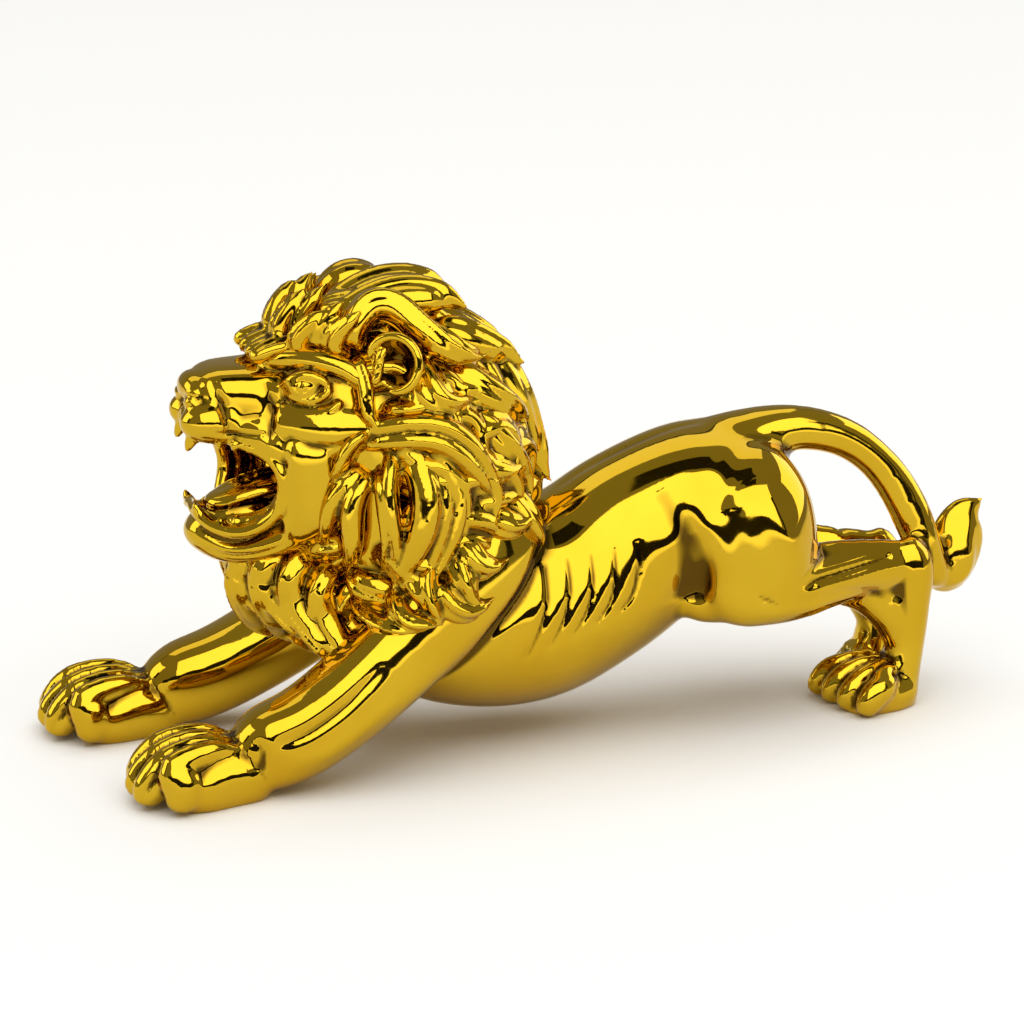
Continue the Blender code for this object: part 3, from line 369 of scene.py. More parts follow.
HOCK_TO_HEEL = [
    (122, 13, 57, 5, 5.5), (124.2, 13, 47, 6.3, 8), (124.2, 12.8, 36, 6.2, 7), (123.5, 12.5, 24, 6.4, 6.5),
    (121.5, HIND_TRACK, 12, 7.5, 6.8), (120.3, HIND_TRACK, 0, 8, 7), (120.3, HIND_TRACK, -6, 8, 6),
]
BEND = [
    (84, 17, 46, 5, 7), (98, 14.5, 44.6, 6, 8), (109, 13.5, 40, 6, 8), (117, 13.2, 30, 6, 6.5),
    (120, 13, 18, 5, 4.5),
]
LEFT_HIND_TOES = [(96.2, 1.5), (97.8, 9.3), (100.3, 17.2), (104.3, 24.6)]
RIGHT_HIND_TOES = [(109.2, 5.6), (108.8, 9.6), (109.6, 13.8), (111.6, 17.6)]
LEFT_PAW_MIDDLE, RIGHT_PAW_MIDDLE = 12.6, 11.6
LEFT_PAW_HALF, RIGHT_PAW_HALF = 13.6, 8.2
RIGHT_PAW_BACK, RIGHT_PAW_LOWER = 11, 5


def hind_leg(clay, side, toe_tips, paw_middle, paw_half, paw_back, paw_lower, drop):
    clay.drawn(mirrored(THIGH, side), sides=28, rings=32, fullness=5)
    clay.lump((57, 9 * side, 66), (29, 21.5, 23))                # haunch, flowing into the flank
    clay.lump((54, 18 * side, 44), (13, 9, 8))                   # fold between belly and knee
    for rows, sides in ((SHANK, 24), (HEEL_CORD, 16), (BEND, 20), (HOCK_TO_HEEL, 22)):
        rows = [(x, y, z - drop * min(max((x - 64) / 20, 0), 1) * (z > 40), w, d) for x, y, z, w, d in rows]
        clay.drawn(mirrored(rows, side), sides=sides, rings=32)
    paw = [
        (126.5, HIND_TRACK, 2, 8.5, 6), (120, 12, 4, 10.5, 9.5),
        (111 + paw_back, paw_middle, 4 - paw_lower / 2, paw_half * 0.9, 8.5 - paw_lower / 2),
        (101 + paw_back, paw_middle, 1 - paw_lower, paw_half * 0.95, 7),
    ]
    clay.drawn(mirrored(paw, side), fullness=5)
    for x, y in toe_tips:
        root_y = paw_middle + (y - paw_middle) * 0.5
        toe = [
            (118, root_y, 12.5 - paw_lower, 1.6, 3),
            (113, root_y + (y - root_y) * 0.3, 13 - paw_lower, 2.6, 3.8),
            (x + 7, root_y + (y - root_y) * 0.8, 9.8 - paw_lower / 2, 3.5, 5),
            (x + 2.5, y, 6 - paw_lower / 2, 3.7, 5.2), (x, y, 0.5, 3.3, 5),
        ]
        clay.drawn(mirrored(toe, side), sides=16, rings=22, fullness=4)


hind_leg(body, -1, LEFT_HIND_TOES, LEFT_PAW_MIDDLE, LEFT_PAW_HALF, 0, 0, 0)
hind_leg(body, 1, RIGHT_HIND_TOES, RIGHT_PAW_MIDDLE, RIGHT_PAW_HALF, RIGHT_PAW_BACK, RIGHT_PAW_LOWER,
         RIGHT_DROP)
print("with hind legs", len(body.bm.verts), "points")

# %% [markdown]
# ## Forelegs
# The forelegs reach along the ground from heavy shoulders to big round paws. The right one reaches
# further than the left. So each row of the leg ends with its share of that extra reach.

# %% Forearm, paw and toes
FORE_TRACK = 32.5
FAR_REACH = 15.5
TOES = 4
FORELEG = [
    (-108, 32.5, 10.6, 10.8, 12.8, 1.0), (-97, 32.3, 14.4, 11.5, 14.2, 0.9), (-85, 32, 19, 12.5, 14, 0.8),
    (-71, 31, 27.8, 13.5, 14.2, 0.6), (-54, 29, 40.8, 13.5, 15, 0.35), (-36, 25, 56, 13, 17.5, 0.15),
    (-19, 19, 71, 12, 17, 0), (-8, 13, 81, 9, 12, 0),
]
FOREPAW = [
    (-96, 32.5, 3, 9.5, 8), (-108, 32.5, 7, 11.5, 12.5), (-119, 32.9, 7, 13.8, 12.6),
    (-130, 33.3, 3, 14, 9),
]


def fore_toe(k, side):
    """Rows of the k-th toe of a forepaw, from the inner one. Both paws are turned a little to the left."""
    q = 2 * k / (TOES - 1) - 1
    reach = FAR_REACH * (side > 0)
    tip = -138.6 + (5.3 - 3.5 * side * math.copysign(1, q)) * q * q
    root, end = FORE_TRACK + 6.4 * q, FORE_TRACK + 0.8 + 11.4 * q
    rows = [
        (-107, root, 17, 1.8, 3.2), (-117, root + (end - root) * 0.3, 18.2, 2.9, 4.4),
        (-128, root + (end - root) * 0.7, 15, 3.9, 5.8),
        (tip + 3, end, 8, 4.3, 6.4), (tip + 0.5, end, 1.5, 3.8, 6.2),
    ]
    return [(x - reach, *rest) for x, *rest in rows]


def foreleg(clay, side):
    reach = FAR_REACH * (side > 0)
    leg = [(x - reach * share, y, z, w, d) for x, y, z, w, d, share in FORELEG]
    clay.drawn(mirrored(leg, side), sides=32, rings=48, fullness=7, boxy=0.6)
    paw = [(x - reach, y, z, w, d) for x, y, z, w, d in FOREPAW]
    clay.drawn(mirrored(paw, side), sides=28, fullness=5)
    for k in range(TOES):
        clay.drawn(mirrored(fore_toe(k, side), side), sides=18, fullness=4)


foreleg(body, -1)
foreleg(body, 1)
body = fuse(body.finished("lion_body"), 1.1, 4)

# %% Ease the back, the flanks and the thighs
def broad_on_body(x, y, z):
    """Broad all over, but for the paws and the tuft, and less so on the tail and the hocks."""
    forepaws = (x + 98 + FAR_REACH * (y > 0)) / 12
    tuft = (134 - x) / 6
    tail = np.where((z > 60) & (x > 78), 0.12, 1)
    hind_paws = np.where(x > 85, (z - 16) / 8, 1)
    hocks = np.where((x > 84) & (z <= 60), 0.25, 1)
    return np.minimum.reduce([forepaws, tuft * tail, hind_paws, hocks])


ease(body, broad_on_body, 45)

# %% [markdown]
# ## Muscles, ribs and toes
# Five ribs show on each flank, the flank is drawn in before the thigh, and the thigh has a ridge between
# two hollows. These are shallow, but on a mirror they decide where the dark reflections run.

# %% Carving on the body
RIBS = 5


def carve_trunk(skin, side):
    for k in range(RIBS):
        x, top, bottom = -8 + 7.6 * k, 64 + 1.2 * k, 34 + 3 * k
        rib = [(x + 3, top), (x + 3, top - 9), (x + 0.5, top - 18), (x - 5, bottom)]
        skin.flank_stroke(side, rib, 2.6, 1.1)
    # hollow of the flank, and the thigh's front edge
    skin.flank_stroke(side, [(34, 84), (38, 76), (42, 66), (43, 56), (42, 46)], 11, 2.6, True)
    skin.flank_stroke(side, [(44, 70), (46.5, 62), (47.5, 54), (47.5, 46)], 5, 0.9, True)
    # planes of the thigh: a ridge between two hollows
    skin.flank_stroke(side, [(62, 86), (68, 76), (74, 65), (80, 55)], 9, -1.2, True)
    skin.flank_stroke(side, [(55, 78), (56, 68), (58, 58), (63, 50)], 8, 1.0, True)
    # knee, and the groove between shank and heel cord
    skin.flank_stroke(side, [(62, 50), (67, 47.5), (72, 44.5)], 3, 0.9)
    skin.flank_stroke(side, [(80, 50.5), (86, 52), (92, 52.3), (100, 52.4), (109, 52.6), (115, 53)], 2.6, 1.4)
    skin.flank_stroke(side, [(78, 45), (88, 46), (98, 45), (108, 42), (115, 36)], 3.5, 0.8)
    # behind the shoulder
    skin.flank_stroke(side, [(-2, 78), (-6, 68), (-14, 56), (-24, 46), (-34, 36), (-44, 28)], 4, 1.8, True)


def carve_foreleg(skin, side):
    reach = FAR_REACH * (side > 0)

    def at(rows):
        return [(x - reach * share, z) for x, share, z in rows]
    skin.flank_stroke(side, at([(-103, 1, 21), (-101, 1, 17), (-101, 1, 11)]), 3, 1.2)
    cord = at([(-97, 0.95, 19), (-86, 0.8, 23), (-74, 0.65, 31), (-62, 0.5, 42)])
    skin.flank_stroke(side, cord, 4, 1, True)
    muscle = at([(-94, 0.95, 12), (-82, 0.8, 15), (-70, 0.6, 22), (-58, 0.4, 31)])
    skin.flank_stroke(side, muscle, 5, -0.9, True)
    for k in range(TOES - 1):
        inner, outer = fore_toe(k, side), fore_toe(k + 1, side)
        tops = [((a[0] + b[0]) / 2, side * (a[1] + b[1]) / 2) for a, b in zip(inner, outer)]
        line = [skin.seen((x, y, 40), (0, 0, -1)) for x, y in tops[:3]]
        x, y = tops[4]
        skin.stroke([*line, (x - 4, y, 8), (x - 5, y, 1)], 2.2, 1.6, taper=0.35)


def carve_hind_paw(skin, side, toe_tips, paw_middle):
    for (xa, ya), (xb, yb) in zip(toe_tips, toe_tips[1:]):
        x, y = (xa + xb) / 2, (ya + yb) / 2
        root_y = paw_middle + (y - paw_middle) * 0.5
        tops = ((117, root_y), (112, root_y + (y - root_y) * 0.3), (x + 8, root_y + (y - root_y) * 0.7))
        line = [skin.seen((px, py * side, 19), (0, 0, -1)) for px, py in tops]
        skin.stroke([*line, (x + 0.5, y * side, 6.5), (x - 1.5, y * side, 1)], 2, 1.6, taper=0.35)


skin = Skin(body)
for side in (-1, 1):
    carve_trunk(skin, side)
    carve_foreleg(skin, side)
carve_hind_paw(skin, -1, LEFT_HIND_TOES, LEFT_PAW_MIDDLE)
carve_hind_paw(skin, 1, RIGHT_HIND_TOES, RIGHT_PAW_MIDDLE)
spine = [skin.nearest(p) for p in ((0, 0, 90), (20, 0, 92), (40, 0, 100), (55, 0, 103))]
skin.stroke(spine, 3.5, 0.8, soft=True)
skin.done()
print("body carved")

# %% [markdown]
# ## The head
# The jaws are open almost as wide as they go. The muzzle is a squared roll, the cheek runs from the
# cheek bone down to the jaw as one smooth plate, and a thin lip rolls round the corner of the mouth. The
# eye is a ball between two lids under a heavy brow.

# %% Lines of the muzzle, cheeks and eyes
MUZZLE = [
    (-74, 0, 118, 22, 13), (-86, 0, 119, 18, 12), (-96, 0, 120, 14.5, 11.2),
    (-106, 0, 120.3, 12.4, 10.4), (-113.5, 0, 120, 9.5, 8.6),
]
CHEEK_BONE = [
    (-92, 13, 117, 4, 5), (-84, 18.5, 114.5, 5, 7), (-74, 22.8, 113, 5.5, 8.5), (-60, 25.5, 112, 5, 8),
]
FLEW = [(-106, 7, 114, 4, 4.5), (-98, 11.5, 112.8, 4, 5), (-90.5, 16.5, 110, 4, 5.5), (-84, 20, 104, 4, 6)]
CHEEK = [
    (-78, 20, 116, 4.5, 9), (-79, 23, 107, 4, 8.5), (-79, 23.3, 98, 3.6, 8.2), (-79, 21.6, 89, 3.8, 8.5),
    (-80, 19, 81, 3.8, 8.5), (-79, 16, 74, 3, 7),
]
BROW = [
    (-91.5, 4.5, 130.2, 3, 3), (-86, 10.8, 133.6, 3.4, 3.2), (-77.5, 17.2, 134.6, 3.4, 3.6),
    (-68.5, 22.4, 132.4, 3.2, 3.4), (-63.5, 26, 127.2, 2.6, 2.6),
]
UPPER_LID = [(-87.3, 15.3, 125.3, 1.2, 1.2), (-84.8, 19.3, 129.3, 1.5, 1.4), (-80.3, 21.4, 130.9, 1.6, 1.5),
             (-75.8, 22.8, 129.1, 1.5, 1.4), (-73.3, 23.8, 126.5, 1.1, 1.1)]
LOWER_LID = [(-87.3, 15.3, 125.3, 1.1, 1.1), (-83.8, 19.8, 123.5, 1.3, 1.2), (-79.3, 22.2, 122.9, 1.4, 1.3),
             (-75.3, 23.6, 124.5, 1.2, 1.2), (-73.3, 23.8, 126.5, 1.1, 1.1)]
EYE_BAG = [(-86.3, 18.2, 121, 1.2, 1.2), (-80.8, 22.3, 118.1, 1.8, 1.8), (-74.3, 25.1, 119.9, 1.6, 1.6),
           (-70.3, 26.2, 123.1, 1, 1)]

# %% Lines of the lips, jaw and teeth
LIP = [
    (-108, 9, 110, 1.6, 1.6), (-100, 12.6, 108.2, 1.9, 1.9), (-93, 17.2, 105.5, 2, 2),
    (-88.8, 20.8, 100, 2, 2), (-88.5, 21, 92, 2, 2), (-92, 18.8, 84.5, 2.2, 2.2),
    (-100, 15.5, 80.2, 2.3, 2.3), (-107.5, 11, 81, 2.2, 2.2), (-112.2, 5.5, 84.6, 2.1, 2.1),
    (-113.2, -1, 86.2, 2.1, 2.1),
]
JAW = [(-60, 0, 90, 25, 15), (-74, 0, 83.5, 23.5, 11.5), (-88, 0, 76, 19, 8.5), (-100, 0, 73.6, 14.5, 7.4),
       (-108, 0, 76.8, 10.5, 7.3), (-113.8, 0, 80.8, 7.5, 6.5)]
TONGUE = [(-78, 0, 90, 10, 6), (-88, 0, 90.5, 9.5, 4.6), (-97, 0, 88.8, 8.5, 3.8), (-104, 0, 86.5, 6.8, 3),
          (-108.5, 0, 86, 4.8, 2.4)]
UPPER_FANG = [(-112, 7.4, 112, 2.5, 2.5), (-114, 7.8, 108.5, 2, 2), (-115.5, 7.8, 105.2, 0.9, 0.9)]
LOWER_FANG = [(-110.5, 6.4, 83, 2.2, 2.2), (-112.5, 6.8, 86, 1.6, 1.6), (-113.3, 7, 88.6, 0.7, 0.7)]
GUM = [(-86.5, 17, 94, 1.8, 1.8), (-89.5, 15.8, 86.5, 2.6, 2.8), (-96, 13.4, 82.6, 3, 3.2),
       (-104, 9.8, 82, 2.6, 2.8)]
FAR_CHEEK = [(-102, 11, 109, 2.6, 2.8), (-100.5, 14, 103, 2.6, 2.8), (-98.2, 15.6, 95, 2.6, 2.8),
             (-99, 14.6, 88, 2.6, 2.8), (-101.5, 12, 82, 2.6, 2.8)]


def cheek_teeth(clay, side):
    for k in range(4):
        q = k / 3
        x, y = -106 + 13 * q, 11.5 + 5.5 * q
        for gum, tip in ((109 - q, 105.8 - q), (81, 84.6 + q)):
            tooth = [(x, side * y, gum, 1.4, 1.6), (x, side * (y - 0.2), tip, 0.6, 0.6)]
            clay.drawn(tooth, across=(1, 0, 0), sides=10, rings=10, fullness=4)


# %% [markdown]
# An ear is a ball with its outer half pressed in to a bowl, and a rim rolled round all but its front. The
# bowl is pressed in deeper than the rim stands out, because a shallow mirror bowl shows only brightness.

# %% Ears
EAR_MIDDLE = (-54, 29.8, 135)
EAR_HEIGHT, EAR_WIDTH, EAR_RIM, EAR_RIM_OUT = 8.6, 8, 1.5, 2.8
EAR_FRONT, EAR_BOWL, EAR_BACK = 7, 12.5, 8.5


def ear(clay, side):
    """A bowl facing out and forward, its rim rolled at the back and over the top, open in front."""
    middle = np.array(EAR_MIDDLE, float) * (1, side, 1)
    outward = unit((-0.5, 0.82 * side, 0.12))
    up = np.array((-0.1, -0.15 * side, 1))
    up = unit(up - outward * (up @ outward))
    front = np.cross(outward, up) * -side
    turns = np.linspace(-1.12 * math.pi, 0.42 * math.pi, 21)
    rim = [middle + up * EAR_HEIGHT * math.cos(a) + front * EAR_WIDTH * math.sin(a) + outward * EAR_RIM_OUT
           for a in turns]
    clay.drawn([(*p, EAR_RIM, EAR_RIM) for p in rim], across=outward, sides=12, rings=60, fullness=9)
    verts, co, _, _ = clay.ball(36, 24)
    bowl = EAR_BOWL * (1 - co[:, 0] ** 2 - co[:, 1] ** 2)
    depth = np.where(co[:, 2] > 0, EAR_FRONT * co[:, 2] - bowl, EAR_BACK * co[:, 2])
    points = middle + np.outer(co[:, 0] * EAR_HEIGHT, up) + np.outer(co[:, 1] * EAR_WIDTH, front)
    clay.place(verts, points + np.outer(depth, outward))
    for k in range(3):
        hair = [middle + front * (7.5 - 4 * t - k) + up * (-6 + 3 * k + 6 * t) + outward * (2.5 - 1.5 * t)
                for t in (0, 0.35, 0.7, 1)]
        clay.strand(hair, [outward] * 4, 1.5, 1.3, 0.6, 0.5, 0)


# %% Skull and jaws
head = Clay()
head.lump((-68, 0, 118), (22, 25.5, 19.5))           # skull
head.lump((-75, 0, 127.5), (13, 21, 9.5))            # forehead
head.lump((-58, 0, 98), (20, 25, 22))                # back of the mouth
head.lump((-95, 0, 81), (15, 9, 7))                  # floor of the mouth
head.lump((-70, 0, 76), (20, 21, 15))                # throat
head.drawn(MUZZLE, sides=36, rings=36, fullness=5, boxy=1.1)
head.drawn(JAW, sides=36, rings=32, fullness=5)
head.drawn(TONGUE, sides=24, fullness=4)
for k in range(3):                                   # folds inside the right cheek, seen through the jaws
    fold = [(x + 4.4 * k, y + 0.9 * k, z, wide, deep) for x, y, z, wide, deep in FAR_CHEEK]
    head.drawn(fold, sides=14)
head.lump((-110.6, 0, 124), (5.6, 8.6, 5))           # nose
head.lump((-107.5, 0, 114), (8.8, 7.5, 6))           # between the two upper lips
print("skull and jaws", len(head.bm.verts), "points")

# %% Both sides of the face
for side in (-1, 1):
    head.lump((-105, 8 * side, 114.6), (12.5, 7, 7.4))       # upper lip
    head.lump((-112, 6.2 * side, 121.6), (4, 3.6, 4))        # wing of the nose
    head.lump((-80.4, 18.7 * side, 127), (6, 4.8, 4.4))      # eye
    for rows in (CHEEK_BONE, FLEW, CHEEK, BROW):
        head.drawn(mirrored(rows, side), fullness=5)
    for rows in (UPPER_LID, LOWER_LID, EYE_BAG):
        head.drawn(mirrored(rows, side), sides=12, rings=30)
    head.drawn(mirrored(LIP, side), sides=14, rings=50)
    head.drawn(mirrored(GUM, side), sides=12, rings=24)
    for rows in (UPPER_FANG, LOWER_FANG):
        head.drawn(mirrored(rows, side), sides=12, rings=14, fullness=4)
    cheek_teeth(head, side)
    ear(head, side)
head = fuse(head.finished("lion_head"), 0.7, 3)

# %% Ease the cheeks and the skull
def broad_on_head(x, y, z):
    """Broad away from the eyes, the ears and the open mouth, and less so on the nose."""
    off_eyes = np.maximum(np.hypot(x + 78, z - 124.5) - 9, 0) / 3
    off_ears = np.maximum(np.hypot(x + 54, z - 135) - 12, 0) / 3
    off_mouth = np.where(z < 111, np.maximum((np.abs(y) - 17) / 3, (78 - z) / 4), 1)
    nose = np.where(x < -104, 0.25, 1)
    return np.minimum.reduce([off_eyes, off_ears, off_mouth, nose])


ease(head, broad_on_head, 14)

# %% [markdown]
# ## Carving the face
# Nostrils, the cleft of the upper lip, the folds that a snarl draws on the muzzle, the inner corner of
# the eye, the ring of the iris and the pupil are strokes on the fused head.

# %% Carving on the face
EYE, IRIS = (-81, 19, 127.2), 2.2


def carve_face(skin, side):
    nostril = [(-116.5, 2.6, 121.8), (-116, 5, 122.2), (-114, 8, 123), (-111.5, 9.6, 122.2)]
    skin.stroke(mirrored(nostril, side), 1.9, 2)
    # folds of the muzzle, and the upper lip's edge
    skin.flank_stroke(side, [(-107.5, 128), (-105.5, 122), (-104, 116), (-103, 110.5)], 2.6, 1.7)
    skin.flank_stroke(side, [(-92, 128), (-90.5, 121), (-91.5, 115), (-92, 110)], 3.2, 1.9)
    skin.flank_stroke(side, [(-108, 112.5), (-101, 111.6), (-95, 112), (-90, 112.8)], 1.7, 1)
    # under the cheek bone, and the lower lip
    skin.flank_stroke(side, [(-87, 112), (-80, 109.5), (-73, 109), (-66, 111)], 3, 1, True)
    skin.flank_stroke(side, [(-92, 80), (-99, 76.5), (-106, 76.5), (-112, 79.5)], 2.2, 1.1)
    skin.flank_stroke(side, [(-87, 76), (-95, 72.5), (-103, 71.5), (-110, 73.5)], 2.2, 0.9)
    # inner corner of the eye, the iris and the pupil
    skin.stroke(mirrored([(-88, 12, 127), (-86.5, 14.5, 124), (-86, 16.5, 120)], side), 3, 1.2, soft=True)
    eye = mirrored([EYE], side)[0] + unit((-0.3, 0.95 * side, 0.1)) * 5
    fore, up = unit((-1, -0.3 * side, 0)), np.array((0, 0, 1))
    turns = np.linspace(0, 2 * math.pi, 17)
    iris = [skin.nearest(eye + IRIS * (fore * math.cos(a) + up * math.sin(a))) for a in turns]
    skin.stroke(iris, 1.0, 0.6, taper=0)
    skin.stroke([skin.nearest(eye + up * rise) for rise in (-0.7, 0, 0.7)], 1.3, 1.1, taper=0)


skin = Skin(head)
for side in (-1, 1):
    carve_face(skin, side)
skin.stroke([(-117, 0, 119.5), (-116.5, 0, 115), (-115.5, 0, 111)], 1.8, 1.3)
skin.stroke([skin.nearest(p) for p in ((-106, 0, 92), (-98, 0, 97), (-88, 0, 99), (-82, 0, 99))], 2, 1)
skin.done()
print("face carved")

# %% [markdown]
# ## The mane's core
# Under the hair is an egg, bowed back at mid height. Locks are laid on it in two ways. Rings of combed
# locks cover it all round: each starts at its place round the face and follows the way hair is combed,
# away from the face and then down. The locks that give this lion its look are laid one by one. Low down
# the core flares like a bell, because the hair there lies over the shoulders.

# %% An egg to lay hair on
CORE = np.array((-43.5, 0, 98.0))
CORE_RADII = np.array((35.5, 30.5, 46.5))
BOW, BOW_HEIGHT = 0.006, 92
BELL, BELL_TOP, BELL_HEIGHT, BELL_MOST = 0.4, 104, 44, 1.2
FACE_AXIS = unit((-1, 0, 0.08))


def bell(z):
    """How much wider than an egg the core is at z, and how fast that changes."""
    low = np.clip((BELL_TOP - z) / BELL_HEIGHT, 0, BELL_MOST)
    return 1 + BELL * low ** 2, -2 * BELL * low / BELL_HEIGHT * (low < BELL_MOST)


def straightened(p):
    """A point with the core's bow and bell taken out of it."""
    return np.array((p[0] + BOW * (p[2] - BOW_HEIGHT) ** 2, p[1] / bell(p[2])[0], p[2]))


def bent(q):
    """A point or rows of points with bow and bell put back."""
    x, y, z = np.asarray(q).T
    return np.stack([x - BOW * (z - BOW_HEIGHT) ** 2, y * bell(z)[0], z], -1)


def core_normal(q):
    n = (q - CORE) / CORE_RADII ** 2
    spread, slope = bell(q[2])
    n[2] += 2 * BOW * (q[2] - BOW_HEIGHT) * n[0] - n[1] * q[1] * slope / spread
    n[1] /= spread
    return unit(n)


def on_core(p):
    """The core's point straight under p, and its normal."""
    q = straightened(p)
    q = CORE + (q - CORE) / np.linalg.norm((q - CORE) / CORE_RADII)
    return bent(q), core_normal(q)


# %% Ways to lay a lock on the core
SHOULDERS = Skin(body)


def on_flank(x, z, side):
    """The point of core or shoulder at x, z as seen square on from a side, whichever lies further out."""
    u = (straightened((x, 0, z)) - CORE) / CORE_RADII
    inside = 1 - u[0] ** 2 - u[2] ** 2
    under = SHOULDERS.seen((x, 200 * side, z), (0, -side, 0))
    on_shoulder = abs(under[0] - x) < 1 and abs(under[2] - z) < 1
    if inside < 0.02 and not on_shoulder:
        return on_core((x, 3.5 * side, z))
    p = np.array((x, math.sqrt(max(inside, 0.02)) * CORE_RADII[1] * side * bell(z)[0], z))
    n = core_normal(straightened(p))
    if on_shoulder and abs(under[1]) - 2 > abs(p[1]):
        p[1] = under[1] - 2 * side
        n = unit(0.35 * n + np.array((-0.15, side, 0.35)))
    return p, n


def combed(start, length, sway, phase, fall=0.5, steps=12):
    """A path on the core, combed away from the face and down, swaying as it goes."""
    p, n = on_core(start)
    path, outward = [], []
    for k in range(steps):
        share = k / (steps - 1)
        path.append(p)
        outward.append(n)
        away = unit(n * (FACE_AXIS @ n) - FACE_AXIS)
        down = np.array((0, 0, -1.0)) + n * n[2]
        ahead = unit(away * (1 - fall) + down * fall)
        turn = sway * math.sin(2 * math.pi * 1.15 * share + phase)
        ahead = ahead * math.cos(turn) + np.cross(n, ahead) * math.sin(turn)
        p, n = on_core(p + ahead * length / (steps - 1))
    return path, outward


def round_face(back, turn):
    """A place on the core, given in degrees back from the face and round it from the top."""
    back, turn = math.radians(back), math.radians(turn)
    up = unit(np.array((0, 0, 1)) - FACE_AXIS * FACE_AXIS[2])
    out = up * math.cos(turn) + np.array((0, -1, 0)) * math.sin(turn)
    q = CORE + 40 * (FACE_AXIS * math.cos(back) + out * math.sin(back))
    return bent(q)


def free_lock(clay, path, wide, high, heart, lift, curl, strands=3):
    """A lock whose outward side faces away from the heart point."""
    path = np.array(path, float)
    clay.lock(path, unit(path - np.array(heart, float)), wide, high, lift, curl, strands)


# %% Lines of the crown, nape and back
# Rings: degrees back from the face, how many, length, half width, start angle.
COMBED = [(122, 14, 38, 7, 12), (102, 18, 42, 6.8, 0), (82, 19, 44, 6.8, 10), (64, 16, 40, 6.5, 0)]
CROWN_LOCK = [
    (-70, 5.5, 139), (-61, 6, 144.5), (-50, 6.5, 148.3), (-40, 7, 148.6), (-32, 8, 146.5), (-26, 9, 143),
]
NAPE_LOCK = [(-38, 10, 140), (-31, 10, 136.8), (-23, 9, 132.6), (-15, 8, 128.4), (-7, 8, 123)]
BACK_LOCK = [(-25, 5, 131), (-17, 5, 125.5), (-11, 5, 114), (-6.7, 5, 102), (-3, 6, 92), (1.5, 6, 83)]
SEED = 4
MANE_GRAIN = 0.7

# %% Core, combed rings and crown
mane = Clay()
draw = random.Random(SEED)
verts, co, _, _ = mane.ball(64, 48)
mane.place(verts, bent(CORE + co * CORE_RADII))
mane.lump((-10, 0, 83), (11, 15, 9))       # where the mane meets the back
for back, count, length, wide, start in COMBED:
    for k in range(count):
        turn = start + 360 * k / count + draw.uniform(-4, 4)
        flank = math.sin(math.radians(turn))
        root = round_face(back + draw.uniform(-4, 4) + 8 * abs(flank), turn)
        sway = math.copysign(draw.uniform(0.5, 0.95), flank)
        path, outward = combed(root, length * draw.uniform(0.85, 1.15), sway, draw.uniform(-0.6, 0.6))
        on_top = math.cos(math.radians(turn)) > 0.6
        lift = draw.uniform(0, 1) if on_top else draw.uniform(1, 2.4)
        mane.lock(path, outward, wide * draw.uniform(0.85, 1.1), 5, lift, draw.uniform(1, 3))
for side in (-1, 1):
    free_lock(mane, mirrored(CROWN_LOCK, side), 8.3, 6, (-52, 0, 88), 1.5, 2)
    free_lock(mane, mirrored(NAPE_LOCK, side), 6.5, 5.5, (-45, 0, 98), 1.5, 2)
    free_lock(mane, mirrored(BACK_LOCK, side), 6.5, 6, (-43, 0, 98), 1.5, 2)
mane = fuse(mane.finished("lion_mane"), MANE_GRAIN, 2)

# %% [markdown]
# ## The great locks of the flanks
# Seen from the side the mane is a drawing: long locks in the shape of an S, crossing over and under each
# other. Each row below is one lock: where it starts and ends in that side view, how far it bows, how far
# it sways the other way and back, how wide it is and how far it stands off. The cheek carries the boldest
# ones. Most of those are one smooth flame with a deep gap beside it, so their rows end with the number of
# strands.

# %% Rows of the great locks
REAR_LOCKS = [
    (-33, 137, -8, 103, -5, 0, 6, 3), (-21, 104, 1, 76, -5.5, -1, 6, 2.5),
    (-24, 90, -5, 68, -2.5, 0, 6, 2.5), (-50, 150, -25, 139, 1, -1, 5.5, 3),
    (-46, 141, -17, 129, 5.5, -1.5, 6, 4), (-37, 131.5, -6, 97.5, -1.5, 1, 6.5, 4),
    (-45, 135, -26, 119.5, 9.5, 0, 6.5, 4.5), (-30, 117, -8.5, 75, -3.5, 0, 6, 3.5),
    (-30, 101, -11, 98, 3.7, 0, 5, 3), (-28, 83, -9, 81, 3.5, -1, 5.5, 3),
    (-37.5, 80, -18, 69.5, 6.5, -1, 6, 3),
]
THROAT_LOCKS = [
    (-44, 66, -24, 58, 6.5, 0, 5.5, 2.5), (-83.5, 85, -88.5, 59, -1.5, 2.5, 4.5, 2.5),
    (-77, 80, -83, 51, -3, 2, 5, 2.5), (-58, 78, -50, 54, -4, 2, 5, 2.5),
    (-51, 76, -44, 57, 3.5, -1.5, 5, 2.5), (-55, 63, -42.5, 52, 5, 2, 3.8, 2),
    (-67.5, 71, -62, 50, 7, 2, 4.6, 3), (-62, 62, -51, 50, 5, 2.2, 3.8, 2),
    (-43.5, 74, -41.5, 51, 4.5, 0, 5, 3), (-38, 74, -27, 56, 3, -1.5, 5, 3),
]
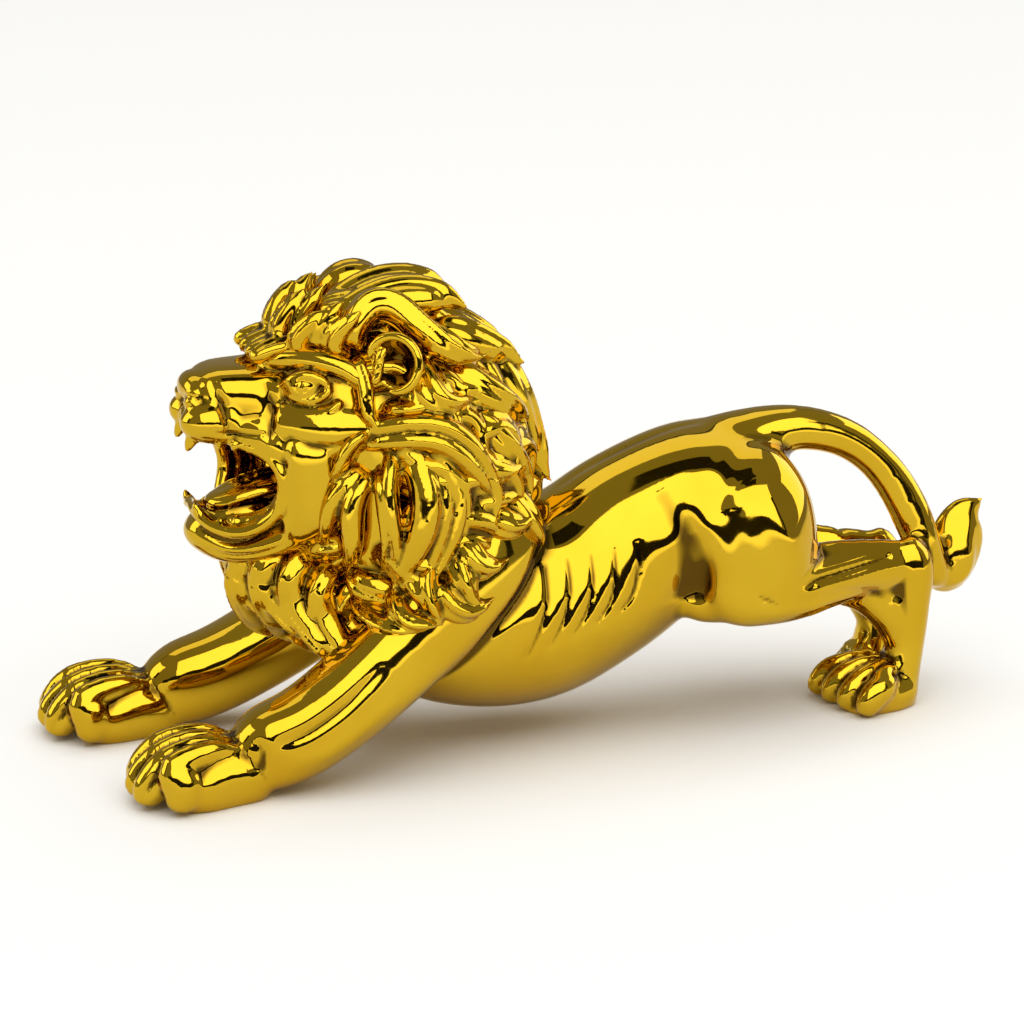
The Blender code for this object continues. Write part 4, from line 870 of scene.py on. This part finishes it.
CHEEK_LOCKS = [
    (-60, 113, -22, 76, 0, -6.5, 7.5, 3.5, 2), (-67, 76.5, -84, 73, -1, 1, 4.6, 4, 2),
    (-60, 114, -74, 94, 0.5, 1.8, 2.7, 3.8, 1), (-63, 102, -72.6, 71, 2.6, 1.1, 3.8, 4, 1),
    (-61.5, 101, -67.6, 64.5, 0.5, 1.8, 4, 4.8, 1), (-59.3, 103, -58.7, 66, -1.6, 0.6, 1.9, 3.6, 1),
    (-54.5, 108, -55.7, 65, 0.3, 1.7, 3.4, 4.6, 1), (-51, 109, -57, 57.5, -7, -1.8, 5.2, 5.4, 1),
    (-44, 107, -47, 56.5, -5.8, -2.6, 6, 3.8, 2), (-68.5, 108.5, -17, 80.5, -15, -4, 6.5, 6, 2),
]
ARCH_LOCK = [
    (-67, 20, 137), (-64, 18.5, 145), (-58, 17, 150), (-51, 18, 148.5), (-44, 22, 142), (-36, 25, 135),
    (-28.5, 24, 131.5), (-21, 21, 133.5),
]
BEFORE_EAR = [(-65, 22.5, 136), (-63, 26, 128), (-62.5, 28, 119), (-58.5, 30, 112)]
print("great locks", 2 * len(REAR_LOCKS + THROAT_LOCKS + CHEEK_LOCKS))

# %% Locks of the left and right flank
LOCK_HEIGHT, LOCK_CURL = 4.6, 3


def flank_lock(clay, side, x0, z0, x1, z1, bow, sway, wide, lift, strands=3):
    """A lock on the core's flank, from its root to its tip, bowed once and swayed twice on the way."""
    length = math.hypot(x1 - x0, z1 - z0)
    share = np.linspace(0, 1, 9)
    aside = (bow * np.sin(math.pi * share) + sway * np.sin(2 * math.pi * share)) / length
    x = x0 + (x1 - x0) * share + (z1 - z0) * aside
    z = z0 + (z1 - z0) * share - (x1 - x0) * aside
    path, outward = (np.array(rows) for rows in zip(*(on_flank(a, b, side) for a, b in zip(x, z))))
    for _ in range(2):
        path[1:-1] = (path[:-2] + 2 * path[1:-1] + path[2:]) / 4
        outward[1:-1] = (outward[:-2] + 2 * outward[1:-1] + outward[2:]) / 4
    clay.lock(path, outward, wide, LOCK_HEIGHT, lift, LOCK_CURL, strands)


for side, name in ((-1, "lion_locks_left"), (1, "lion_locks_right")):
    locks = Clay()
    for row in REAR_LOCKS + THROAT_LOCKS + CHEEK_LOCKS:
        flank_lock(locks, side, *row)
    free_lock(locks, mirrored(ARCH_LOCK, side), 5.2, 5, (-50, 0, 105), 1, 3)
    free_lock(locks, mirrored(BEFORE_EAR, side), 2.8, 2.6, (-55, 0, 120), 0, 1, 2)
    fuse(locks.finished(name), MANE_GRAIN, 2)

# %% [markdown]
# ## Forelocks and beard
# The hair over the forehead stands up in small flames, and a short fringe hangs forward over the brow.
# Under the jaw the beard falls in curled tips of different lengths, and runs down the chest as a bib.

# %% Flames over the forehead
# Each flame: x and y of its root, its height, its half width.
FORELOCKS = [(-81.8, 5, 15.6, 3.9), (-76, 6.5, 16.6, 4.1), (-78, 13, 12.5, 3.5), (-72, 14, 14.5, 3.7),
             (-68, 18.5, 13, 3.5)]
BROW_FRINGE = (-9, -3, 3, 9)

forelocks = Clay()
for side in (-1, 1):
    for x, y, tall, wide in FORELOCKS:
        steps = ((3, 0, 1), (-2.5, 0.4, 1), (-2, 0.75, 1.1), (2, 1.15, 1.25), (5, 1.4, 1.3))
        flame = [(x + dx, y * side * out, 133 + tall * up) for dx, up, out in steps]
        free_lock(forelocks, flame, wide, 3.4, (x + 25, 0, 120), 0.5, 0, 2)
for y in BROW_FRINGE:
    fringe = [(-74, y, 134.5), (-82, y, 137), (-88.5, y * 1.1, 136.8), (-93.8, y * 1.2, 134.6),
              (-94.3 + abs(y) * 0.3, y * 1.25, 131.6)]
    free_lock(forelocks, fringe, 3.8, 3.2, (-84, 0, 118), 0.3, 0.6, 2)
forelocks = fuse(forelocks.finished("lion_forelocks"), MANE_GRAIN, 2)

# %% Beard and bib
# Rows of the beard and bib: x, z of the roots, how many, spread to each side.
BIB = [(-66, 60, 6, 19), (-75, 66, 6, 21), (-83, 70, 6, 18), (-90, 71, 5, 13), (-95, 71.5, 3, 6)]
BIB_LENGTH = 29

beard = Clay()
for x, z, count, spread in BIB:
    for k in range(count):
        q = 2 * k / (count - 1) - 1
        sway = (3.6 if k % 2 == 0 else -3.6) + draw.uniform(-0.8, 0.8)
        length = BIB_LENGTH * draw.uniform(0.85, 1.15)
        steps = ((3, -0.1, 0.85, 0), (-1.5, 0.18, 1, 0.6), (-2 + 2 * abs(q), 0.42, 1.05, 1),
                 (1 + 3 * abs(q), 0.66, 1.1, 0.2), (5 + 3 * abs(q), 0.88, 1.1, -0.8),
                 (11 + 3 * abs(q), 1.05, 1.05, -0.4))
        tip = [(x + dx, spread * q * out + sway * aside, z - length * drop) for dx, drop, out, aside in steps]
        free_lock(beard, tip, 4.4, 4.6, (-55, 0, 72), 1.5, 3)
beard = fuse(beard.finished("lion_beard"), MANE_GRAIN, 2)

# %% [markdown]
# ## Soles and seat in the frame
# The feet are cut flat on the ground plane, as a foundry grinds them. Then all pieces move together, so
# that they sit in the casting's own box. Should the fine skin come out a hair bigger than the facets, the
# same small scale on every piece takes that up.

# %% Cut the soles and fit the box
def cut_flat(piece):
    bm = bmesh.new()
    bm.from_mesh(piece.data)
    cut = bmesh.ops.bisect_plane(bm, geom=bm.verts[:] + bm.edges[:] + bm.faces[:], plane_co=(0, 0, 0),
                                 plane_no=(0, 0, 1), clear_inner=True)
    edges = [e for e in cut["geom_cut"] if isinstance(e, bmesh.types.BMEdge)]
    bmesh.ops.holes_fill(bm, edges=edges, sides=0)
    bmesh.ops.recalc_face_normals(bm, faces=bm.faces[:])
    bm.to_mesh(piece.data)
    bm.free()


def box_of(pieces):
    points = np.concatenate([Skin(piece).at for piece in pieces]) * MM
    return Vector(points.min(0)), Vector(points.max(0))


cut_flat(body)
low, high = box_of(LION)
own, casting = high - low, CAD_HIGH - CAD_LOW
fit = min(1.0, *(c / o for c, o in zip(casting, own)))
middle = (low + high) / 2
seat = (CAD_LOW + CAD_HIGH) / 2
to_seat = (Matrix.Translation((seat.x, seat.y, CAD_LOW.z)) @ Matrix.Scale(fit, 4)
           @ Matrix.Translation((-middle.x, -middle.y, -low.z)))
for piece in LION:
    piece.data.transform(to_seat)
    piece.data.shade_smooth()
print("fit", round(fit, 4), "shift", [round(v / MM, 2) for v in to_seat.translation])

# %% [markdown]
# ## Mirror gold
# The plating is a clear, slightly warm gold with almost no roughness: its colour comes from what it
# reflects. Three things keep it from looking like a computer's ideal metal. The casting under it is not
# quite flat, so a faint, wide ripple bends the reflections. Polishing leaves cloudy patches that are a
# touch less sharp. And the colour is painted near black in the hollows: painted shade, for the dark that
# falls there.

# %% Node group: the plater's unevenness
def socket(group, name, way, kind, default=None):
    made = group.interface.new_socket(name=name, in_out=way, socket_type=kind)
    if default is not None:
        made.default_value = default
    return made


uneven = bpy.data.node_groups.new("plater's unevenness", "ShaderNodeTree")
socket(uneven, "Patch size", "INPUT", "NodeSocketFloat", 28.0)
socket(uneven, "Ripple size", "INPUT", "NodeSocketFloat", 60.0)
socket(uneven, "Patches", "OUTPUT", "NodeSocketFloat")
socket(uneven, "Ripple", "OUTPUT", "NodeSocketFloat")
give, take = uneven.nodes.new("NodeGroupInput"), uneven.nodes.new("NodeGroupOutput")
where = uneven.nodes.new("ShaderNodeTexCoord")
for size, result, detail in (("Patch size", "Patches", 4.0), ("Ripple size", "Ripple", 1.0)):
    noise = uneven.nodes.new("ShaderNodeTexNoise")
    noise.inputs["Detail"].default_value = detail
    uneven.links.new(where.outputs["Object"], noise.inputs["Vector"])
    uneven.links.new(give.outputs[size], noise.inputs["Scale"])
    uneven.links.new(noise.outputs["Fac"], take.inputs[result])
print("group", uneven.name)

# %% [markdown]
# A hollow is a place where the skin lies below its own smoothed shape. That is measured once on each
# finished mesh and kept with its points, so that painted shade in the colour can follow it. Baked shading
# would do the same, but would have to be made again for every change of the form.

# %% Where the hollows are
HOLLOW_ROUNDS, HOLLOW_FULL = 40, 0.5


def mark_hollows(piece, rounds, full):
    """Writes how deep each point lies in a hollow, from 0 to 1 at full millimetres, as "hollow"."""
    mesh = piece.data
    at, normal = columns(mesh, "co") / MM, columns(mesh, "normal")
    ends = np.empty(len(mesh.edges) * 2, np.int32)
    mesh.edges.foreach_get("vertices", ends)
    a, b = ends.reshape(-1, 2).T
    count = len(at)
    friends = np.bincount(ends, minlength=count)
    calm = at.copy()
    for _ in range(rounds):
        for i in range(3):
            around = np.bincount(a, calm[b, i], count) + np.bincount(b, calm[a, i], count)
            calm[:, i] = (calm[:, i] + around / friends) / 2
    depth = np.clip(((calm - at) * normal).sum(1) / full, 0, 1).astype(np.float32)
    mesh.attributes.new("hollow", "FLOAT", "POINT").data.foreach_set("value", depth)
    return depth.mean()


for piece in LION:
    print(piece.name, "in hollows", round(float(mark_hollows(piece, HOLLOW_ROUNDS, HOLLOW_FULL)), 3))

# %% [markdown]
# The gold is one shader. Its colour wanders between two close golds with the patches and goes to a painted
# shade, near black, in the hollows. Its roughness follows the same patches, and the ripple only tilts the
# reflections.

# %% The gold itself
BRIGHT_GOLD = (0.6, 0.38, 0.02, 1)
WARM_GOLD = (0.56, 0.335, 0.015, 1)
# The last colour is painted shade: near black, laid into the hollows where shade falls.
PAINTED_SHADE = (0.05, 0.022, 0.004, 1)


def ramp(nodes, stops):
    node = nodes.new("ShaderNodeValToRGB")
    for element, (at, colour) in zip(node.color_ramp.elements, stops):
        element.position = at
        element.color = colour
    return node


def rescaled(nodes, low, high, to_low, to_high):
    """A node that takes values from low to high, to values from to_low to to_high."""
    node = nodes.new("ShaderNodeMapRange")
    for name, value in (("From Min", low), ("From Max", high), ("To Min", to_low), ("To Max", to_high)):
        node.inputs[name].default_value = value
    return node


gold = bpy.data.materials.new("mirror gold")
gold.use_nodes = True
nodes, links = gold.node_tree.nodes, gold.node_tree.links
metal = nodes["Principled BSDF"]
metal.inputs["Metallic"].default_value = 1
plating = nodes.new("ShaderNodeGroup")
plating.node_tree = uneven
tint = ramp(nodes, ((0.35, WARM_GOLD), (0.6, BRIGHT_GOLD)))
links.new(plating.outputs["Patches"], tint.inputs["Fac"])
# Painted shade: the depth of each hollow mixes the base colour towards the near-black shade colour.
hollow = nodes.new("ShaderNodeAttribute")
hollow.attribute_name = "hollow"
shade_in_hollows = rescaled(nodes, 0.2, 0.9, 0.0, 0.9)
links.new(hollow.outputs["Fac"], shade_in_hollows.inputs["Value"])
shade = nodes.new("ShaderNodeMix")
shade.data_type = "RGBA"
links.new(shade_in_hollows.outputs["Result"], shade.inputs["Factor"])
links.new(tint.outputs["Color"], shade.inputs["A"])
shade.inputs["B"].default_value = PAINTED_SHADE
links.new(shade.outputs["Result"], metal.inputs["Base Color"])
haze = rescaled(nodes, 0.4, 0.7, 0.035, 0.075)
links.new(plating.outputs["Patches"], haze.inputs["Value"])
links.new(haze.outputs["Result"], metal.inputs["Roughness"])
ripple = nodes.new("ShaderNodeBump")
ripple.inputs["Strength"].default_value = 0.12
ripple.inputs["Distance"].default_value = 0.001
links.new(plating.outputs["Ripple"], ripple.inputs["Height"])
links.new(ripple.outputs["Normal"], metal.inputs["Normal"])

# %% Gild every piece
for piece in LION:
    piece.data.materials.clear()
    piece.data.materials.append(gold)
    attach(piece, "root")
    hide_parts("lion")
print("gold on", len(LION), "pieces")

# %% [markdown]
# ## Room, light and camera
# A mirror needs a room more than it needs lamps. The floor is plain and pale, and a wide, dim fill above
# lights it. Soft boxes in front, behind, left and right show only in the gold.

# %% Floor
def plain_material(name, colour, roughness):
    material = bpy.data.materials.new(name)
    material.use_nodes = True
    shader = material.node_tree.nodes["Principled BSDF"]
    shader.inputs["Base Color"].default_value = colour
    shader.inputs["Roughness"].default_value = roughness
    shader.inputs["Specular IOR Level"].default_value = 0.2
    return material


def board(name, middle, aim, width, height, material):
    """A flat stage board, facing the aim point."""
    bm = bmesh.new()
    bmesh.ops.create_grid(bm, x_segments=1, y_segments=1, size=0.5)
    bmesh.ops.scale(bm, vec=(width, height, 1), verts=bm.verts[:])
    mesh = bpy.data.meshes.new(name)
    bm.to_mesh(mesh)
    bm.free()
    mesh.materials.append(material)
    piece = placed(name, mesh)
    piece.location = middle
    piece.rotation_euler = (Vector(aim) - Vector(middle)).to_track_quat("Z", "Y").to_euler()
    piece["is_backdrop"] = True
    return piece


PAPER = plain_material("white paper", (0.92, 0.92, 0.91, 1), 0.8)
board("floor", (0, 0, CAD_LOW.z), (0, 0, 1), 12, 12, PAPER)
print("floor at", round(CAD_LOW.z, 4))

# %% [markdown]
# Polished metal looks like metal through its dark bands, and those have to be given to it. A studio does
# that with black boards. Here five stand round the lion: over the head, low in front, along the seam
# between two soft boxes, and one to each side. Only the reflections see them.

# %% Reflected boards
CHARCOAL = plain_material("dark board", (0.012, 0.01, 0.008, 1), 0.9)
HEART = Vector((-0.02, 0, 0.08))


def only_in_gold(piece):
    piece.visible_camera = False
    piece.visible_shadow = False
    piece.visible_diffuse = False


# Each board: its way from the heart of the lion, how far off, width and height.
BOARDS = {
    "board_over_head": ((0.0, -0.27, 0.96), 1.3, 0.62, 0.42),
    "board_front_low": ((0.05, -1.0, 0.03), 1.5, 3.2, 0.28),
    "board_seam": ((0.0, 0.63, 0.78), 1.6, 3.0, 0.05),
    "board_left": ((-0.93, -0.25, 0.25), 1.4, 0.22, 0.6),
    "board_right": ((0.75, -0.6, 0.3), 1.4, 0.14, 0.7),
}
for name, (way, away, width, height) in BOARDS.items():
    middle = HEART + Vector(way).normalized() * away
    only_in_gold(board(name, middle, HEART, width, height, CHARCOAL))
print("boards", list(BOARDS))

# %% [markdown]
# The lower half of the body looks down at the floor, and a matt floor alone would leave it dull. A bright
# sheet lies in front of the lion, beginning a little way off. It fades towards its near edge, so that its
# reflection has no hard border there. Again only the reflections see it.

# %% Bright sheet on the floor in front
SHEET_NEAR, SHEET_FAR, SHEET_WIDTH, SHEET_FADE = 0.36, 1.35, 3.2, 0.25
SHEET_GLOW = (1.0, 1.9)
glow = bpy.data.materials.new("bright sheet")
glow.use_nodes = True
nodes, links = glow.node_tree.nodes, glow.node_tree.links
nodes.remove(nodes["Principled BSDF"])
lit = nodes.new("ShaderNodeEmission")
links.new(lit.outputs["Emission"], nodes["Material Output"].inputs["Surface"])
place = nodes.new("ShaderNodeTexCoord")
apart = nodes.new("ShaderNodeSeparateXYZ")
edge = (SHEET_FAR - SHEET_NEAR) / 2
fade = rescaled(nodes, edge, edge - SHEET_FADE, *SHEET_GLOW)
links.new(place.outputs["Object"], apart.inputs["Vector"])
links.new(apart.outputs["Y"], fade.inputs["Value"])
links.new(fade.outputs["Result"], lit.inputs["Strength"])
middle = -(SHEET_NEAR + SHEET_FAR) / 2
spot, above = (0, middle, CAD_LOW.z + 0.001), (0, middle, 1)
sheet = board("bright_sheet", spot, above, SHEET_WIDTH, SHEET_FAR - SHEET_NEAR, glow)
sheet.rotation_euler = (0, 0, 0)
only_in_gold(sheet)
print("sheet from", SHEET_NEAR, "to", SHEET_FAR, "m in front")

# %% Soft boxes and room light
def soft_box(name, way, away, width, height, radiance, in_gold=True):
    """A rectangular soft box that way from the lion. It shows in the gold, or it lights the floor."""
    light = bpy.data.lights.new(name, "AREA")
    light.shape = "RECTANGLE"
    light.size, light.size_y = width, height
    light.energy = radiance * math.pi * width * height
    lamp = placed(name, light)
    place = HEART + Vector(way).normalized() * away
    lamp.location = place
    lamp.rotation_euler = (HEART - place).to_track_quat("-Z", "Y").to_euler()
    lamp.visible_glossy = in_gold
    lamp.visible_diffuse = not in_gold


soft_box("box front", (0.1, -0.8, 0.56), 1.9, 2.8, 1.9, 2.1)
soft_box("box behind", (0.0, 0.41, 0.91), 2.0, 2.4, 0.92, 1.1)
soft_box("box left", (-0.93, 0.1, 0.4), 2.0, 1.6, 1.3, 2.0)
soft_box("box right", (0.95, 0.2, 0.35), 2.0, 1.6, 1.2, 2.0)
soft_box("fill overhead", (0, -0.1, 1), 4.0, 7.0, 7.0, 1.75, in_gold=False)

room = bpy.data.worlds.new("room")
bpy.context.scene.world = room
room.use_nodes = True
room.node_tree.nodes["Background"].inputs["Color"].default_value = (1, 0.97, 0.9, 1)
room.node_tree.nodes["Background"].inputs["Strength"].default_value = 0.3
bpy.context.scene.view_settings.view_transform = "Standard"
print("lights", len(bpy.data.lights))

# %% [markdown]
# ## Camera
# A long lens from a little above and towards the head keeps the near paw from growing too big, and shows
# the open mouth, the side of the mane and the whole stretch of the back at once.

# %% Camera
CAMERA_TURN, CAMERA_RISE = -16.418, 18.0
CAMERA_AWAY, CAMERA_LENS = 1.3, 142.9
CAMERA_TARGET = Vector((-0.00736, -0.00001, 0.0735))

turn, rise = math.radians(CAMERA_TURN), math.radians(CAMERA_RISE)
back = Vector((math.sin(turn) * math.cos(rise), -math.cos(turn) * math.cos(rise), math.sin(rise)))
lens = bpy.data.cameras.new("camera")
lens.lens = CAMERA_LENS
lens.clip_start = 0.05
camera = placed("camera", lens)
camera.location = CAMERA_TARGET + back * CAMERA_AWAY
camera.rotation_euler = (-back).to_track_quat("-Z", "Y").to_euler()
bpy.context.scene.camera = camera
print("camera", CAMERA_AWAY, "m away, lens", CAMERA_LENS, "mm")

# %% [markdown]
# ## Hand over
# Both boxes are written down, the casting's and the dressed lion's, so that their sizes can be compared.

# %% Hand over
low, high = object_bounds()
print("visual", [round((b - a) / MM, 1) for a, b in zip(low, high)], "mm")
